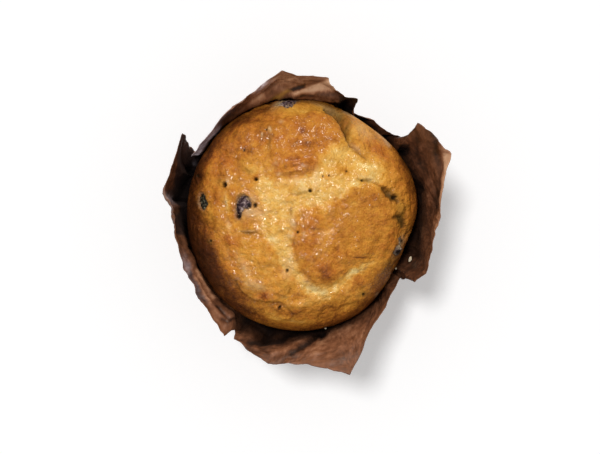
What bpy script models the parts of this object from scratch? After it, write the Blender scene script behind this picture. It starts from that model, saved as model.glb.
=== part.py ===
"""A blueberry muffin baked in a brown tulip paper case.

The case is one folded sheet: a flat round base, a pleated wall that follows the
muffin's side, and four loose petals where the square sheet's corners were.
The muffin fills it and domes out over the wall, with raised crust plates, open
cracks and berries that break its surface.

Metres, +Z up. The origin is the centre of the case's flat base, +Y points to the
petal behind the muffin and +X to the petal on its right.
Lengths below are in millimetres and angles in degrees; MM turns them into metres.
"""

import math

import bmesh
import bpy
from mathutils import Matrix, Vector

MM = 0.001

# Muffin
MUFFIN_FOOT = 0.7  # height of its underside, above the paper
FOOT_RADIUS = 24.9
SHOULDER_RADIUS = 35.4  # where the side stops following the tin
SHOULDER_HEIGHT = 36.0
CROWN_RADIUS = 41.0  # the widest ring of the dome
CROWN_HEIGHT = 50.0
MUFFIN_TOP = 71.0
DOME_POWER = 2.25  # 2 is an ellipse, more is squarer
FOOT_ROUNDING = 2.0
# How the crown departs from a circle: (azimuth, width in azimuth, share of the radius)
CROWN_SWELLS = ((55, 24, -0.056), (327, 24, -0.072), (240, 30, 0.015))
MUFFIN_SEGMENTS = 72
DOME_RINGS = 14

# Raised crust plates on the dome: (centre x, y, half length, half width, turned by, rise)
PLATES = (
    (15.5, -8.5, 20.5, 14.5, 15, 1.2),
    (1.0, 23.5, 13.5, 10.5, 8, 1.0),
    (-16.0, -19.0, 14.0, 10.0, -38, 1.0),
    (-22.0, 17.0, 13.0, 12.0, 50, 0.6),
)
PLATE_EDGE = 0.35  # share of a plate over which its rise fades in

# Open cracks: points (x, y) along the bottom, half width and depth at the middle
CRACKS = {
    "crack_north": (((5.5, 37.3), (12.1, 32.3), (14.9, 26.5), (17.1, 22.5), (21.6, 18.7)), 1.0, 2.6),
    "crack_east": (((20.1, 11.3), (26.0, 9.6), (31.6, 6.1), (35.5, 2.6)), 1.2, 2.4),
    "crack_south_west": (((-21.8, -26.3), (-18.3, -29.5), (-11.4, -30.2), (-3.0, -33.0)), 0.9, 1.8),
    "crack_south": (((-2.6, -11.0), (-1.9, -17.9), (2.0, -22.6), (8.0, -25.0), (14.7, -22.3)), 0.8, 1.4),
}
CRACK_STEPS = 4  # stretches between two of a crack's points

# Berries: (azimuth, distance of the middle from the axis, sunk below the dome, half sizes)
BERRIES = {
    "blueberry_west": (172.0, 20.0, 3.7, (5.0, 4.8, 4.2)),
    "blueberry_far_west": (172.8, 34.6, 3.6, (4.6, 4.9, 4.2)),
    "blueberry_north": (97.0, 38.2, 3.4, (5.4, 4.6, 4.4)),
    "blueberry_east": (341.0, 35.2, 3.5, (4.4, 5.4, 4.2)),
}
BERRY_RINGS = 9
BERRY_SEGMENTS = 16
POCKET_GAP = 0.3

# Paper case
PAPER = 0.4  # thickness
BASE_RADIUS = 25.0
BASE_FOLD = 0.6  # the last of the base, which the fold to the wall lifts a little
PAPER_CLEARANCE = 0.6  # from the muffin to the middle of the paper
PLEAT_DEPTH = 1.6  # at the shoulder; a third of it at the base
PLEAT_LEAN = 0.55  # 0 folds a pleat evenly, 1 lays its short side flat on the next
WALL_HEIGHTS = (1.6, 8.0, 16.0, 24.0, 32.0, 39.0, 44.0)
PETAL_ROWS = (0.13, 0.27, 0.45, 0.7, 1.0)  # share of the way from the wall to the edge
LEAST_FOLD_ANGLE = 5.6  # between neighbouring folds at the wall
STAND_OFF_FOOT = 26.0  # height at which the petals start to lean away from the crown
# Where the petals stand off the crown: (azimuth, width in azimuth, gap)
STAND_OFFS = ((342, 15, 4.0), (85, 14, 1.6), (170, 17, 3.8), (250, 19, 3.4))
# Each fold's end on the paper's edge: (azimuth, radius, height). Where the azimuth
# runs back the sheet folds over itself, between one petal and the next.
RIGHT_PETAL = (
    (-31.7, 44.8, 66), (-26.0, 46.5, 67), (-16.8, 45.4, 68), (-0.6, 46.7, 70),
    (22.0, 53.6, 75), (31.3, 51.2, 73), (38.5, 49.9, 68),
)
RIGHT_BACK_EDGE = ((35.7, 44.7, 51), (41.9, 41.8, 50), (52.4, 40.6, 50), (64.4, 39.6, 50))
BACK_PETAL = (
    (64.6, 43.7, 60), (70.5, 42.6, 61), (79.5, 47.2, 65), (90.0, 46.9, 67), (98.4, 49.3, 69),
    (107.8, 46.0, 67), (121.4, 44.4, 63), (143.4, 42.5, 59), (153.3, 43.4, 57),
)
LEFT_BACK_EDGE = ((150.0, 45.2, 51),)
LEFT_PETAL = (
    (146.1, 49.7, 66), (157.3, 47.4, 70), (170.4, 47.4, 75), (176.3, 44.4, 71),
    (187.4, 44.0, 67), (204.5, 45.3, 62), (221.7, 46.7, 58), (237.4, 50.5, 59),
)
LEFT_FRONT_EDGE = ((240.0, 47.2, 52),)
FRONT_PETAL = (
    (240.9, 49.7, 56), (248.7, 50.9, 59), (256.8, 53.1, 62), (270.4, 51.4, 65),
    (286.2, 57.4, 70), (301.7, 46.2, 61), (318.1, 41.6, 54),
)
RIGHT_FRONT_EDGE = ((327.3, 41.2, 49),)
CURL_LEAN = 0.1  # outwards for each mm up, below the curl
# How far up a petal its outward curl starts: (azimuth, width in azimuth, share of its height)
CURLS = ((5, 30, 0.45), (95, 32, 0.9), (185, 40, 0.8), (275, 34, 0.75))

# Linear colours of the materials
CRUST_COLOUR = (0.50, 0.22, 0.045)
BERRY_COLOUR = (0.022, 0.014, 0.035)
PAPER_COLOUR = (0.16, 0.075, 0.045)


def clear_scene():
    for obj in list(bpy.data.objects):
        bpy.data.objects.remove(obj, do_unlink=True)


def smooth_step(value):
    value = min(max(value, 0.0), 1.0)
    return value * value * (3 - 2 * value)


def bell(azimuth, centre, width):
    """1 at centre and near 0 beyond twice width, on the circle."""
    off = (azimuth - centre + 180) % 360 - 180
    return math.exp(-((off / width) ** 2))


def at_azimuth(azimuth, radius, height):
    turn = math.radians(azimuth)
    return Vector((radius * math.cos(turn), radius * math.sin(turn), height))


def catmull_rom(points, steps):
    """A smooth line through points, with steps stretches between two of them."""
    ends = [points[0], *points, points[-1]]
    line = []
    for k in range(1, len(ends) - 2):
        a, b, c, d = (Vector(p) for p in ends[k - 1 : k + 3])
        for i in range(steps):
            t = i / steps
            line.append(
                0.5 * (2 * b + (c - a) * t + (2 * a - 5 * b + 4 * c - d) * t**2 + (3 * b - a - 3 * c + d) * t**3)
            )
    line.append(Vector(points[-1]))
    return line


def material(name, colour, roughness):
    made = bpy.data.materials.new(name)
    made.use_nodes = True
    shader = made.node_tree.nodes["Principled BSDF"]
    shader.inputs["Base Color"].default_value = (*colour, 1.0)
    shader.inputs["Roughness"].default_value = roughness
    shader.inputs["Metallic"].default_value = 0.0
    made.diffuse_color = (*colour, 1.0)
    return made


def add_object(name, bm, surface=None, sharp=50):
    """An object from a bmesh in millimetres, smooth but for edges that turn by more than sharp."""
    bmesh.ops.scale(bm, vec=(MM, MM, MM), verts=bm.verts)
    bmesh.ops.recalc_face_normals(bm, faces=bm.faces)
    mesh = bpy.data.meshes.new(name)
    bm.to_mesh(mesh)
    bm.free()
    mesh.shade_smooth()
    mesh.set_sharp_from_angle(angle=math.radians(sharp))
    obj = bpy.data.objects.new(name, mesh)
    bpy.context.scene.collection.objects.link(obj)
    if surface:
        mesh.materials.append(surface)
    return obj


# ---------------------------------------------------------------- the muffin's form


def crown_share(azimuth):
    """The crown's radius as a share of CROWN_RADIUS."""
    return 1 + sum(amount * bell(azimuth, centre, width) for centre, width, amount in CROWN_SWELLS)


def round_radius(height):
    """The radius at a height on the outside, before the crown's own outline."""
    if height <= SHOULDER_HEIGHT:
        return FOOT_RADIUS + (SHOULDER_RADIUS - FOOT_RADIUS) * height / SHOULDER_HEIGHT
    if height <= CROWN_HEIGHT:
        depth = CROWN_HEIGHT - SHOULDER_HEIGHT
        share = (height - SHOULDER_HEIGHT) / depth
        lean = (SHOULDER_RADIUS - FOOT_RADIUS) / SHOULDER_HEIGHT * depth * share * (1 - share) ** 2
        return SHOULDER_RADIUS + (CROWN_RADIUS - SHOULDER_RADIUS) * smooth_step(share) + lean
    share = min((height - CROWN_HEIGHT) / (MUFFIN_TOP - CROWN_HEIGHT), 1.0)
    return CROWN_RADIUS * (1 - share**DOME_POWER) ** (1 / DOME_POWER)


def muffin_radius(azimuth, height):
    """The outside radius of the muffin: a cone below, the crown's outline above."""
    outline = smooth_step((height - SHOULDER_HEIGHT / 2) / (CROWN_HEIGHT - SHOULDER_HEIGHT / 2))
    return round_radius(height) * (1 + (crown_share(azimuth) - 1) * outline)


def plate_rise(x, y):
    """How far the crust plates lift the dome at a point in plan."""
    rise = 0.0
    for centre_x, centre_y, length, width, turned, height in PLATES:
        turn = math.radians(turned)
        along = ((x - centre_x) * math.cos(turn) + (y - centre_y) * math.sin(turn)) / length
        across = ((y - centre_y) * math.cos(turn) - (x - centre_x) * math.sin(turn)) / width
        rise = max(rise, height * smooth_step((1 - math.hypot(along, across)) / PLATE_EDGE))
    return rise


def dome_height(x, y):
    """The height of the dome's surface at a point in plan."""
    azimuth = math.degrees(math.atan2(y, x))
    share = min(math.hypot(x, y) / (CROWN_RADIUS * crown_share(azimuth)), 1.0)
    height = CROWN_HEIGHT + (MUFFIN_TOP - CROWN_HEIGHT) * (1 - share**DOME_POWER) ** (1 / DOME_POWER)
    return height + plate_rise(x, y) * smooth_step((1 - share) * 6)


def muffin_rings():
    """(azimuth -> point) functions, from the foot's edge up to the last ring under the top."""
    rings = [lambda a: at_azimuth(a, FOOT_RADIUS - FOOT_ROUNDING, MUFFIN_FOOT)]
    side = [MUFFIN_FOOT + FOOT_ROUNDING]
    side += [SHOULDER_HEIGHT * k / 4 for k in range(1, 5)]
    side += [SHOULDER_HEIGHT + (CROWN_HEIGHT - SHOULDER_HEIGHT) * k / 3 for k in (1, 2, 3)]
    for height in side:
        rings.append(lambda a, h=height: at_azimuth(a, muffin_radius(a, h), h))
    for k in range(1, DOME_RINGS):
        share = math.cos(k / DOME_RINGS * math.pi / 2)

        def ring(a, s=share):
            flat = at_azimuth(a, CROWN_RADIUS * crown_share(a) * s, 0)
            return Vector((flat.x, flat.y, dome_height(flat.x, flat.y)))

        rings.append(ring)
    return rings


def skin(bm, rows, closed_bottom, closed_top):
    """Quads between rings of points, with a fan to one point at either end."""
    rings = [[bm.verts.new(point) for point in row] for row in rows]
    count = len(rings[0])
    for below, above in zip(rings, rings[1:]):
        for k in range(count):
            after = (k + 1) % count
            bm.faces.new((below[k], below[after], above[after], above[k]))
    for ring, point in ((rings[0], closed_bottom), (rings[-1], closed_top)):
        if point is not None:
            middle = bm.verts.new(point)
            for k in range(count):
                bm.faces.new((ring[k], ring[(k + 1) % count], middle))


def crack_cutter(name, points, half_width, depth):
    """A wedge along the crack's line, its keel under the dome and its ends drawn in."""
    line = catmull_rom(points, CRACK_STEPS)
    over = 1.6
    sections = []
    for k, point in enumerate(line):
        before, after = line[max(k - 1, 0)], line[min(k + 1, len(line) - 1)]
        along = (after - before).normalized()
        share = 0.25 + 0.75 * math.sin(math.pi * k / (len(line) - 1))
        side = Vector((-along.y, along.x, 0)) * half_width * share * (1 + over / depth)
        surface = Vector((point.x, point.y, dome_height(point.x, point.y)))
        lift = Vector((0, 0, over))
        sections.append((surface + side + lift, surface - side + lift, surface - lift * depth * share / over))
    bm = bmesh.new()
    rings = [[bm.verts.new(corner) for corner in section] for section in sections]
    for here, there in zip(rings, rings[1:]):
        for k in range(3):
            after = (k + 1) % 3
            bm.faces.new((here[k], here[after], there[after], there[k]))
    bm.faces.new(rings[0])
    bm.faces.new(rings[-1])
    return add_object(name, bm)


def berry_placement(azimuth, distance, sunk):
    """A frame with its own Z along the dome's normal, below the surface by sunk."""
    middle = at_azimuth(azimuth, distance, 0)
    step = 0.5
    surface = Vector((middle.x, middle.y, dome_height(middle.x, middle.y)))
    slope_x = dome_height(middle.x + step, middle.y) - dome_height(middle.x - step, middle.y)
    slope_y = dome_height(middle.x, middle.y + step) - dome_height(middle.x, middle.y - step)
    normal = Vector((-slope_x, -slope_y, 2 * step)).normalized()
    turn = normal.to_track_quat("Z", "Y").to_matrix().to_4x4()
    return Matrix.Translation(surface - normal * sunk) @ turn


def add_berry(name, placement, half_sizes, grown, surface=None):
    """A blueberry, or with grown its pocket: an ellipsoid standing on the dome's normal."""
    bm = bmesh.new()
    bmesh.ops.create_uvsphere(bm, u_segments=BERRY_SEGMENTS, v_segments=BERRY_RINGS, radius=1.0)
    bmesh.ops.scale(bm, vec=[size + grown for size in half_sizes], verts=bm.verts)
    bmesh.ops.transform(bm, matrix=placement, verts=bm.verts)
    return add_object(name, bm, surface)


def cut(obj, cutter):
    cutter.hide_render = True
    cutter.display_type = "WIRE"
    boolean = obj.modifiers.new(cutter.name, "BOOLEAN")
    boolean.operation = "DIFFERENCE"
    boolean.solver = "EXACT"
    boolean.object = cutter


def build_muffin(crust, berry_skin):
    azimuths = [360 * k / MUFFIN_SEGMENTS for k in range(MUFFIN_SEGMENTS)]
    rows = [[ring(azimuth) for azimuth in azimuths] for ring in muffin_rings()]
    bm = bmesh.new()
    skin(bm, rows, Vector((0, 0, MUFFIN_FOOT)), Vector((0, 0, dome_height(0, 0))))
    muffin = add_object("muffin", bm, crust)
    for name, (points, half_width, depth) in CRACKS.items():
        cut(muffin, crack_cutter(f"{name}_cutter", points, half_width, depth))
    for name, (azimuth, distance, sunk, half_sizes) in BERRIES.items():
        placement = berry_placement(azimuth, distance, sunk)
        add_berry(name, placement, half_sizes, 0.0, berry_skin)
        cut(muffin, add_berry(f"{name}_pocket", placement, half_sizes, POCKET_GAP))


# ---------------------------------------------------------------- the paper case


def fold_ends():
    """The ends of the folds round the paper's whole edge, starting at the right petal."""
    return (
        *RIGHT_PETAL, *RIGHT_BACK_EDGE, *BACK_PETAL, *LEFT_BACK_EDGE,
        *LEFT_PETAL, *LEFT_FRONT_EDGE, *FRONT_PETAL, *RIGHT_FRONT_EDGE,
    )  # fmt: skip


def wall_azimuths(ends):
    """Each fold's azimuth down the wall: its end's, moved until none crosses another."""
    angles = [end[0] for end in ends]
    for _ in range(200):
        for k in range(len(angles)):
            after = (k + 1) % len(angles)
            lap = 360 if after == 0 else 0
            short = LEAST_FOLD_ANGLE - (angles[after] + lap - angles[k])
            if short > 0:
                angles[k] -= short / 2
                angles[after] += short / 2
    return angles


def paper_columns():
    """(end point, azimuth at the wall, pleat 0 or 1) for each fold, and for a line midway to the next."""
    ends = fold_ends()
    walls = wall_azimuths(ends)
    count = len(ends)
    leaning = [
        walls[k] + (k % 2) * PLEAT_LEAN * ((walls[(k + 1) % count] + (360 if k == count - 1 else 0)) - walls[k])
        for k in range(count)
    ]
    folds = [(at_azimuth(*ends[k]), leaning[k], k % 2) for k in range(count)]
    first_again = (folds[0][0], folds[0][1] + 360, folds[0][2])
    columns = []
    for here, there in zip(folds, [*folds[1:], first_again]):
        columns.append(here)
        columns.append(((here[0] + there[0]) / 2, (here[1] + there[1]) / 2, 0.5))
    return columns


def clear_of_muffin(point):
    """The point, moved out from the axis if the paper would come too near the muffin."""
    azimuth = math.degrees(math.atan2(point.y, point.x))
    least = muffin_radius(azimuth, min(point.z, MUFFIN_TOP)) + PAPER_CLEARANCE
    radius = math.hypot(point.x, point.y)
    grown = max(least / radius, 1.0)
    return Vector((point.x * grown, point.y * grown, point.z))


def wall_point(azimuth, height, pleat):
    up = height / SHOULDER_HEIGHT
    gap = sum(amount * bell(azimuth, centre, width) for centre, width, amount in STAND_OFFS)
    radius = muffin_radius(azimuth, height) + PAPER_CLEARANCE
    radius += gap * max((height - STAND_OFF_FOOT) / (CROWN_HEIGHT - STAND_OFF_FOOT), 0.0)
    radius += pleat * PLEAT_DEPTH * (1 + 2 * up) / 3
    return at_azimuth(azimuth, radius, height)


def petal_point(column, share):
    """A point between the top of the wall and the edge, on a curve that curls outwards."""
    end, azimuth, pleat = column
    top = wall_point(azimuth, WALL_HEIGHTS[-1], pleat)
    lean = wall_point(azimuth, CROWN_HEIGHT, pleat)
    reach = min(0.5 * (end.z - top.z) / (CROWN_HEIGHT - WALL_HEIGHTS[-1]), 1.0)
    curl = min(sum(amount * bell(azimuth, centre, width) for centre, width, amount in CURLS), 1.0)
    raised = curl * max(end.z - CROWN_HEIGHT, 0.0)
    bend = top + (lean - top) * reach + at_azimuth(azimuth, CURL_LEAN * raised, raised)
    return clear_of_muffin(top * (1 - share) ** 2 + bend * 2 * share * (1 - share) + end * share**2)


def build_case(paper):
    columns = paper_columns()
    base = PAPER / 2
    rows = [
        [at_azimuth(azimuth, radius, base) for _, azimuth, _ in columns]
        for radius in (BASE_RADIUS - BASE_FOLD, BASE_RADIUS)
    ]
    rows += [[wall_point(azimuth, height, pleat) for _, azimuth, pleat in columns] for height in WALL_HEIGHTS]
    rows += [[petal_point(column, share) for column in columns] for share in PETAL_ROWS]
    bm = bmesh.new()
    skin(bm, rows, Vector((0, 0, base)), None)
    case = add_object("paper_case", bm, paper, 22)
    sheet = case.modifiers.new("paper", "SOLIDIFY")
    sheet.thickness = PAPER * MM
    sheet.offset = 0.0
    return case


def main():
    clear_scene()
    build_muffin(material("crust", CRUST_COLOUR, 0.55), material("berry", BERRY_COLOUR, 0.4))
    build_case(material("paper", PAPER_COLOUR, 0.6))


main()
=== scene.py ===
"""Looks for a blueberry muffin in a brown tulip paper case.

Lengths in the tables are millimetres in the part's own frame (+Z up, +Y to the back
petal, +X to the right petal) and angles are degrees; MM turns them into metres.
"""

import functools
import itertools
import math

import bpy
import numpy as np
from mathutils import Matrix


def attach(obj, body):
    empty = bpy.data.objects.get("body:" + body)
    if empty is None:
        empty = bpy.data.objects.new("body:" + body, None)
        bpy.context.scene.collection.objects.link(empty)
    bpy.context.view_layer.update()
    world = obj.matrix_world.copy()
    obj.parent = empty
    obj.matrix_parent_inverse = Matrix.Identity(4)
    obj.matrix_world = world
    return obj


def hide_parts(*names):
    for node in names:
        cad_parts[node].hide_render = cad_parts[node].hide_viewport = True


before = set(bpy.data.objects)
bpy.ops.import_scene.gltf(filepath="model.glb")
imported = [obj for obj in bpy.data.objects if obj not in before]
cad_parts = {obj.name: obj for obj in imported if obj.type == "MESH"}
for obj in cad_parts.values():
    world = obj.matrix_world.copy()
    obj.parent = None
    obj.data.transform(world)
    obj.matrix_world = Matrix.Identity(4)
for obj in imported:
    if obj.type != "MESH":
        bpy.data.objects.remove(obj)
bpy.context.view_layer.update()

MM = 0.001

# ---- sizes, as in the solids, and how finely the muffin's skin is divided

FOOT, FOOT_RADIUS, FOOT_ROUNDING = 0.7, 24.9, 2.0
SHOULDER, SHOULDER_RADIUS = 36.0, 35.4
CROWN, CROWN_RADIUS = 50.0, 41.0
TOP, DOME_POWER = 71.0, 2.25
# Where the crown isn't round: azimuth, width, share that it swells by
CROWN_SWELLS = ((55, 24, -0.056), (327, 24, -0.072), (240, 30, 0.015))
GRID_CELLS = 270  # along each side of the square grid that wraps the dome
RING_HEIGHTS = (48.9, 47.6, 46.2, 44.5, 42.5, 40, 36.5, 32, 27, 22, 17, 12, 8, 5, 2.7)
FOOT_FLARE, FOOT_TURNS = 0.7, (31.5, 63, 90)  # the foot's rounding, from where it is widest
BASE_RING = 10.0

# Each berry: azimuth, distance from the axis, how far sunk, half sizes, how far it is darker and greener
BERRIES = {
    "blueberry_west": (172, 20, 3.7, (5, 4.8, 4.2), 0),
    "blueberry_far_west": (172.8, 34.6, 3.6, (4.6, 4.9, 4.2), 1),
    "blueberry_north": (97, 38.2, 3.4, (5.4, 4.6, 4.4), 0),
    "blueberry_east": (341, 35.2, 3.5, (4.4, 5.4, 4.2), 0.3),
}
BERRY_HIDING = 1.3  # how much lower a berry's skin lies where crust covers it

PAPER_CLEARANCE = 0.6
BASE_RADIUS, BASE_FOLD, BASE_LEVEL = 25.0, 0.6, 0.2
PLEAT_DEPTH, PLEAT_LEAN, LEAST_FOLD_ANGLE = 1.6, 0.55, 5.6
WALL_TOP = 44.0
# Where the case stands off the muffin, from this height up: azimuth, width, gap at the crown
STAND_OFF_FOOT = 26.0
STAND_OFFS = ((342, 15, 4.0), (85, 14, 1.6), (170, 17, 3.8), (250, 19, 3.4))
# The sheet's edge at each fold: azimuth, distance from the axis, height
FOLD_ENDS = (
    (-31.7, 44.8, 66), (-26, 46.5, 67), (-16.8, 45.4, 68), (-0.6, 46.7, 70), (22, 53.6, 75),
    (31.3, 51.2, 73), (38.5, 49.9, 68), (35.7, 44.7, 51), (41.9, 41.8, 50), (52.4, 40.6, 50),
    (64.4, 39.6, 50), (64.6, 43.7, 60), (70.5, 42.6, 61), (79.5, 47.2, 65), (90, 46.9, 67),
    (98.4, 49.3, 69), (107.8, 46, 67), (121.4, 44.4, 63), (143.4, 42.5, 59), (153.3, 43.4, 57),
    (150, 45.2, 51), (146.1, 49.7, 66), (157.3, 47.4, 70), (170.4, 47.4, 75), (176.3, 44.4, 71),
    (187.4, 44, 67), (204.5, 45.3, 62), (221.7, 46.7, 58), (237.4, 50.5, 59), (240, 47.2, 52),
    (240.9, 49.7, 56), (248.7, 50.9, 59), (256.8, 53.1, 62), (270.4, 51.4, 65), (286.2, 57.4, 70),
    (301.7, 46.2, 61), (318.1, 41.6, 54), (327.3, 41.2, 49),
)
# How far the petals rise before they lean out: azimuth, width, share of their height over the crown
CURL_LEAN = 0.1  # and how far out each mm of that rise goes
CURLS = ((5, 30, 0.45), (95, 32, 0.9), (185, 40, 0.8), (275, 34, 0.75))

# ---- what the paper shows

PAPER_THICKNESS = 0.14
COLUMN_SPACING, WALL_ROWS, PETAL_ROWS = 0.85, 42, 43
# Where the paper touches the crown: first and last place in FOLD_ENDS, with a soft end each
SNUG = ((11.0, 12.5, 19.3, 20.0), (24.0, 25.5, 28.0, 29.0))
SNUG_GAP = 0.3  # the least from the paper to the muffin
SHEET_RADIUS = 40.0  # of the drum that the sheet's own coordinates run round
CREASES, CREASE_SEED, PAPER_SEED = 190, 12, 8
# Creases of the petals: line (x, y), half width, rise towards the muffin, lighter or darker (partly the
# creases' own wear, partly painted light and shade of the folds)
PAPER_CREASES = (
    (((42.6, 29), (44.4, 26.8), (45.8, 19.4), (46.8, 14), (45.8, 8), (44.4, -2)), 1.6, -0.7, -0.35),
    (((38.8, 29), (39.5, 21), (41.7, 15), (40.9, 6), (40.4, 0)), 1.4, -0.4, -0.2),
    (((47.6, 21), (48.2, 16), (47.4, 8), (46, -1), (43.6, -10)), 1.2, 0.4, 0.15),
    (((41.6, -4), (42.4, -11), (41.4, -18)), 1.6, 0.5, 0.12),
    (((6, -41.2), (-3.8, -42.2), (-8.2, -44.4), (-14.6, -44.9), (-21, -45.6)), 1.3, -0.4, -0.4),
    (((9, -41.4), (0.7, -45.9), (-4.7, -49)), 1.3, -0.35, -0.4),
    (((4, -43), (-4, -46.4), (-12, -48)), 1.6, 0.6, 0.15),
    (((18, -38.6), (10, -41.5), (6, -45), (3, -50)), 1.8, 0.5, 0.12),
    (((-4.5, 41), (0, 41.4), (6, 41.2), (12, 40.8)), 2.6, 0.9, 0.1),
    (((-26, 35.5), (-19, 40.6), (-11, 44.6)), 1.6, 0.3, 0.12),
    (((-37.4, -18.9), (-33.5, -25.8), (-30.5, -29.6)), 0.9, 0.4, 0.35),
    (((-38.4, -20.9), (-34.9, -27), (-31.6, -31.5)), 0.8, 0.4, 0.3),
    (((-39.6, -20), (-36.2, -26.6), (-33, -32)), 0.9, -0.4, -0.3),
    (((-30.4, -31.4), (-27.6, -35.2), (-24, -37)), 1, -0.5, -0.4),
    (((-29, -36.4), (-26, -37.6), (-23, -36.2)), 0.9, -0.5, -0.4),
)
# Facets of the petals, painted light and shade of the folds: outline (x, y), lighter or darker
PAPER_FACETS = (
    (((-4.2, 42), (2, 44.2), (6.2, 45.8), (9, 46.4), (12.4, 42.6), (5, 42.9), (-3.9, 41.4)), 0.7),
    (((-5.6, 42.6), (-1.5, 44.4), (0.6, 45.1), (0.7, 43.9), (-2, 42.9), (-5, 42)), -0.9),
    (((3.4, 42.4), (11.6, 42.2), (15, 39.6), (20, 37), (12, 39.4), (5, 41)), -0.35),
    (((-3, 41.3), (3.4, 42), (4.4, 41.2), (-2.6, 40.6)), -0.7),
    (((13, 40.2), (17, 41.4), (18.6, 40.6), (16.8, 36.6), (12.4, 38.2)), -1),
    (((-14, 44.4), (-7, 48.6), (-1, 46.6), (-6, 44.4)), 0.22),
    (((44.8, 24), (50.4, 20.4), (50, 15), (49.2, 4), (45.6, -9), (42, -19), (44.4, -7), (46.6, 5),
      (46.2, 15)), 0.16),
    (((33.4, 24.4), (37.4, 24.2), (36.6, 20.6), (33.8, 21)), -0.6),
    (((47.4, 20.8), (50.2, 19.6), (49.8, 14.6), (48, 15)), 0.2),
    (((-24, -43.4), (-15, -43.2), (-4, -42.6), (-9, -45.6), (-17, -46.4)), -0.2),
    (((-7, -50.6), (4, -44.4), (9.6, -40.8), (2, -43.2), (-5.4, -47.6)), -0.25),
    (((9, -41), (24, -33), (17, -55), (4, -53), (-4, -51.4), (3, -45)), 0.12),
)
# Painted light: petals that are lighter inside, where more light falls on them: azimuth, width, amount
LIT_PETALS = ((90, 34, 0.16), (5, 30, 0.24), (225, 18, 0.12))
# Painted shade inside the left petal, near black: azimuth and how far from the edge it starts, in plan
INNER_SHADE_STARTS = ((140, -0.5), (147, -0.2), (157, 1.3), (168, 2.4), (173, 1), (180, 0.8), (188, 2.2), (196, 9))
# Marks on the petals by what they change: x, y, half length, half width, amount, turn if any
PAPER_MARKS = {
    # tone: lighter and darker patches, painted light and shade of the petals
    "tone": (
        (42, 6, 9, 24, -0.22), (48.5, 16, 2.4, 7, 0.16), (6, -47, 16, 7, 0.16, 20),
        (-6, 44.5, 9, 3, 0.12, 8), (-16, 39.6, 3.4, 1.6, 0.6, 35), (20, 38.4, 3, 3.2, -0.5, -60),
        (-27, -36.4, 3.6, 4, 0.22), (-42, -6, 2.2, 8, 0.25, 12), (-24, 36, 5, 1.6, -0.15, 42),
        (33, 30, 3, 3, -0.4), (-30, 30, 8, 1.6, -0.1, 45), (-4, -50.6, 9, 1.4, 0.1, 4),
        (41, -15.5, 2.6, 6.5, -0.1), (6, -50, 16, 8, -0.12, 20),
    ),
    # sheen: a painted sheen where the glazed paper catches the light
    "sheen": (
        (-40.1, 12, 6, 0.35, 0.6, 80), (-38.2, 18.2, 1.8, 0.9, 1, 51), (-46.2, 5.4, 2.2, 0.9, 0.7, -52),
        (-40.6, -18, 1, 4, 0.35, 18), (-13.6, 44.2, 3.4, 1.1, 0.55, 36), (-37, -26.5, 0.8, 3.4, 0.25, 28),
        (-28, 33.6, 3.4, 0.7, 0.5, 44),
    ),
    "batter": (
        (-8.6, 40.2, 3, 0.8, 0.9, 40), (-5.6, 42, 1.2, 0.5, 0.6, 10), (-10.2, 38.8, 0.9, 0.9, 0.6),
    ),
}

# ---- camera, lights and colours

CAMERA_PLACE, LENS, FILM_WIDTH = (-1.06, -4.6, 639.0), 100.0, 36.0
FLOOR_WIDTH, FLOOR_GLOW = 60000.0, 0.24
WHITE, WARM = (1.0, 1.0, 1.0, 1.0), (1.0, 0.92, 0.8)
LIGHT_GAIN = 1.15  # how much brighter than its albedo a lit surface looks
SKY_LOW, SKY_HIGH = 0.16, 0.48  # level light from all round: at the horizon and overhead
# Name, azimuth, elevation, spread in degrees, share of full white that it gives level ground
KEY = ("key", 132, 77, 9, 0.50)
RIM_LIGHTS = (
    ("soft_back", 72, 42, 16, 0.3), ("glint_left", 212, 50, 5, 0.05), ("glint_back", 118, 44, 5, 0.05),
)
RAMP_LENGTH = 1.4  # the level that the last colour of a ramp stands for
# The crust as it browns: place on the ramp, then gold and orange as screen red, green and blue
BROWNING = (
    (0.00, (238, 208, 138), (232, 188, 116)), (0.12, (228, 180, 92), (219, 158, 78)),
    (0.28, (211, 150, 56), (205, 132, 50)), (0.43, (182, 120, 40), (179, 104, 37)),
    (0.57, (134, 83, 28), (133, 69, 26)), (0.72, (85, 46, 17), (84, 40, 16)), (1.0, (34, 17, 9), (32, 16, 9)),
)
FIBRES = (1.0, 1.0, 0.4)  # the paper's fibres are drawn out up the sheet

# ---- what the dome shows

CRUST_SEED = 5
ROUNDING_STEPS = 5  # of a smooth line, between two of its points
# Browned plates: outline (x, y), rise, width of its soft edge, browning, redness
PLATES = {
    "south_east": (((-2.4, -6), (-1, -1.4), (4, 1), (8, 2.2), (13, 4.4), (17, 6.6), (22, 8.4), (27, 7.8),
        (30, 4), (31.4, -0.5), (33.4, -6), (32, -11), (27, -14), (21, -15.8), (16, -19), (12.8, -22.6),
        (8.6, -24.6), (4, -23.6), (0.4, -20.6), (-1.8, -16), (-2.8, -11)), 0.55, 3.4, 0.53, 0.42),
    "north": (((-11.5, 31), (-7, 33), (-3, 34), (3, 35), (8, 34), (12, 30.5), (14.2, 26.5), (12.4, 24.2),
        (8, 23.4), (5.6, 21), (4.4, 17), (2, 14.6), (-3, 13.4), (-8.8, 13), (-10.6, 17), (-11.6, 22),
        (-12, 27)), 0.6, 3, 0.55, 0.55),
    "south_west": (((-27, -8), (-20, -8.6), (-13, -9.2), (-9.4, -14.2), (-7.2, -19), (-4, -22.6), (-5, -28),
        (-9, -30), (-15, -30.2), (-20, -28), (-22.6, -22.6), (-25.6, -15)), 0.5, 3.4, 0.4, 0.4),
    "north_west": (((-12.6, 32), (-13, 22), (-16.5, 15.4), (-24, 12.4), (-31, 12.6), (-34.4, 17), (-28, 26),
        (-20, 33)), 0.5, 3.6, 0.54, 0.56),
    "north_east": (((14.8, 34), (20, 31.6), (23, 26), (21, 22.4), (17.4, 24.4), (15.6, 29)),
        0.3, 2.6, 0.46, 0.5),
}
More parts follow.
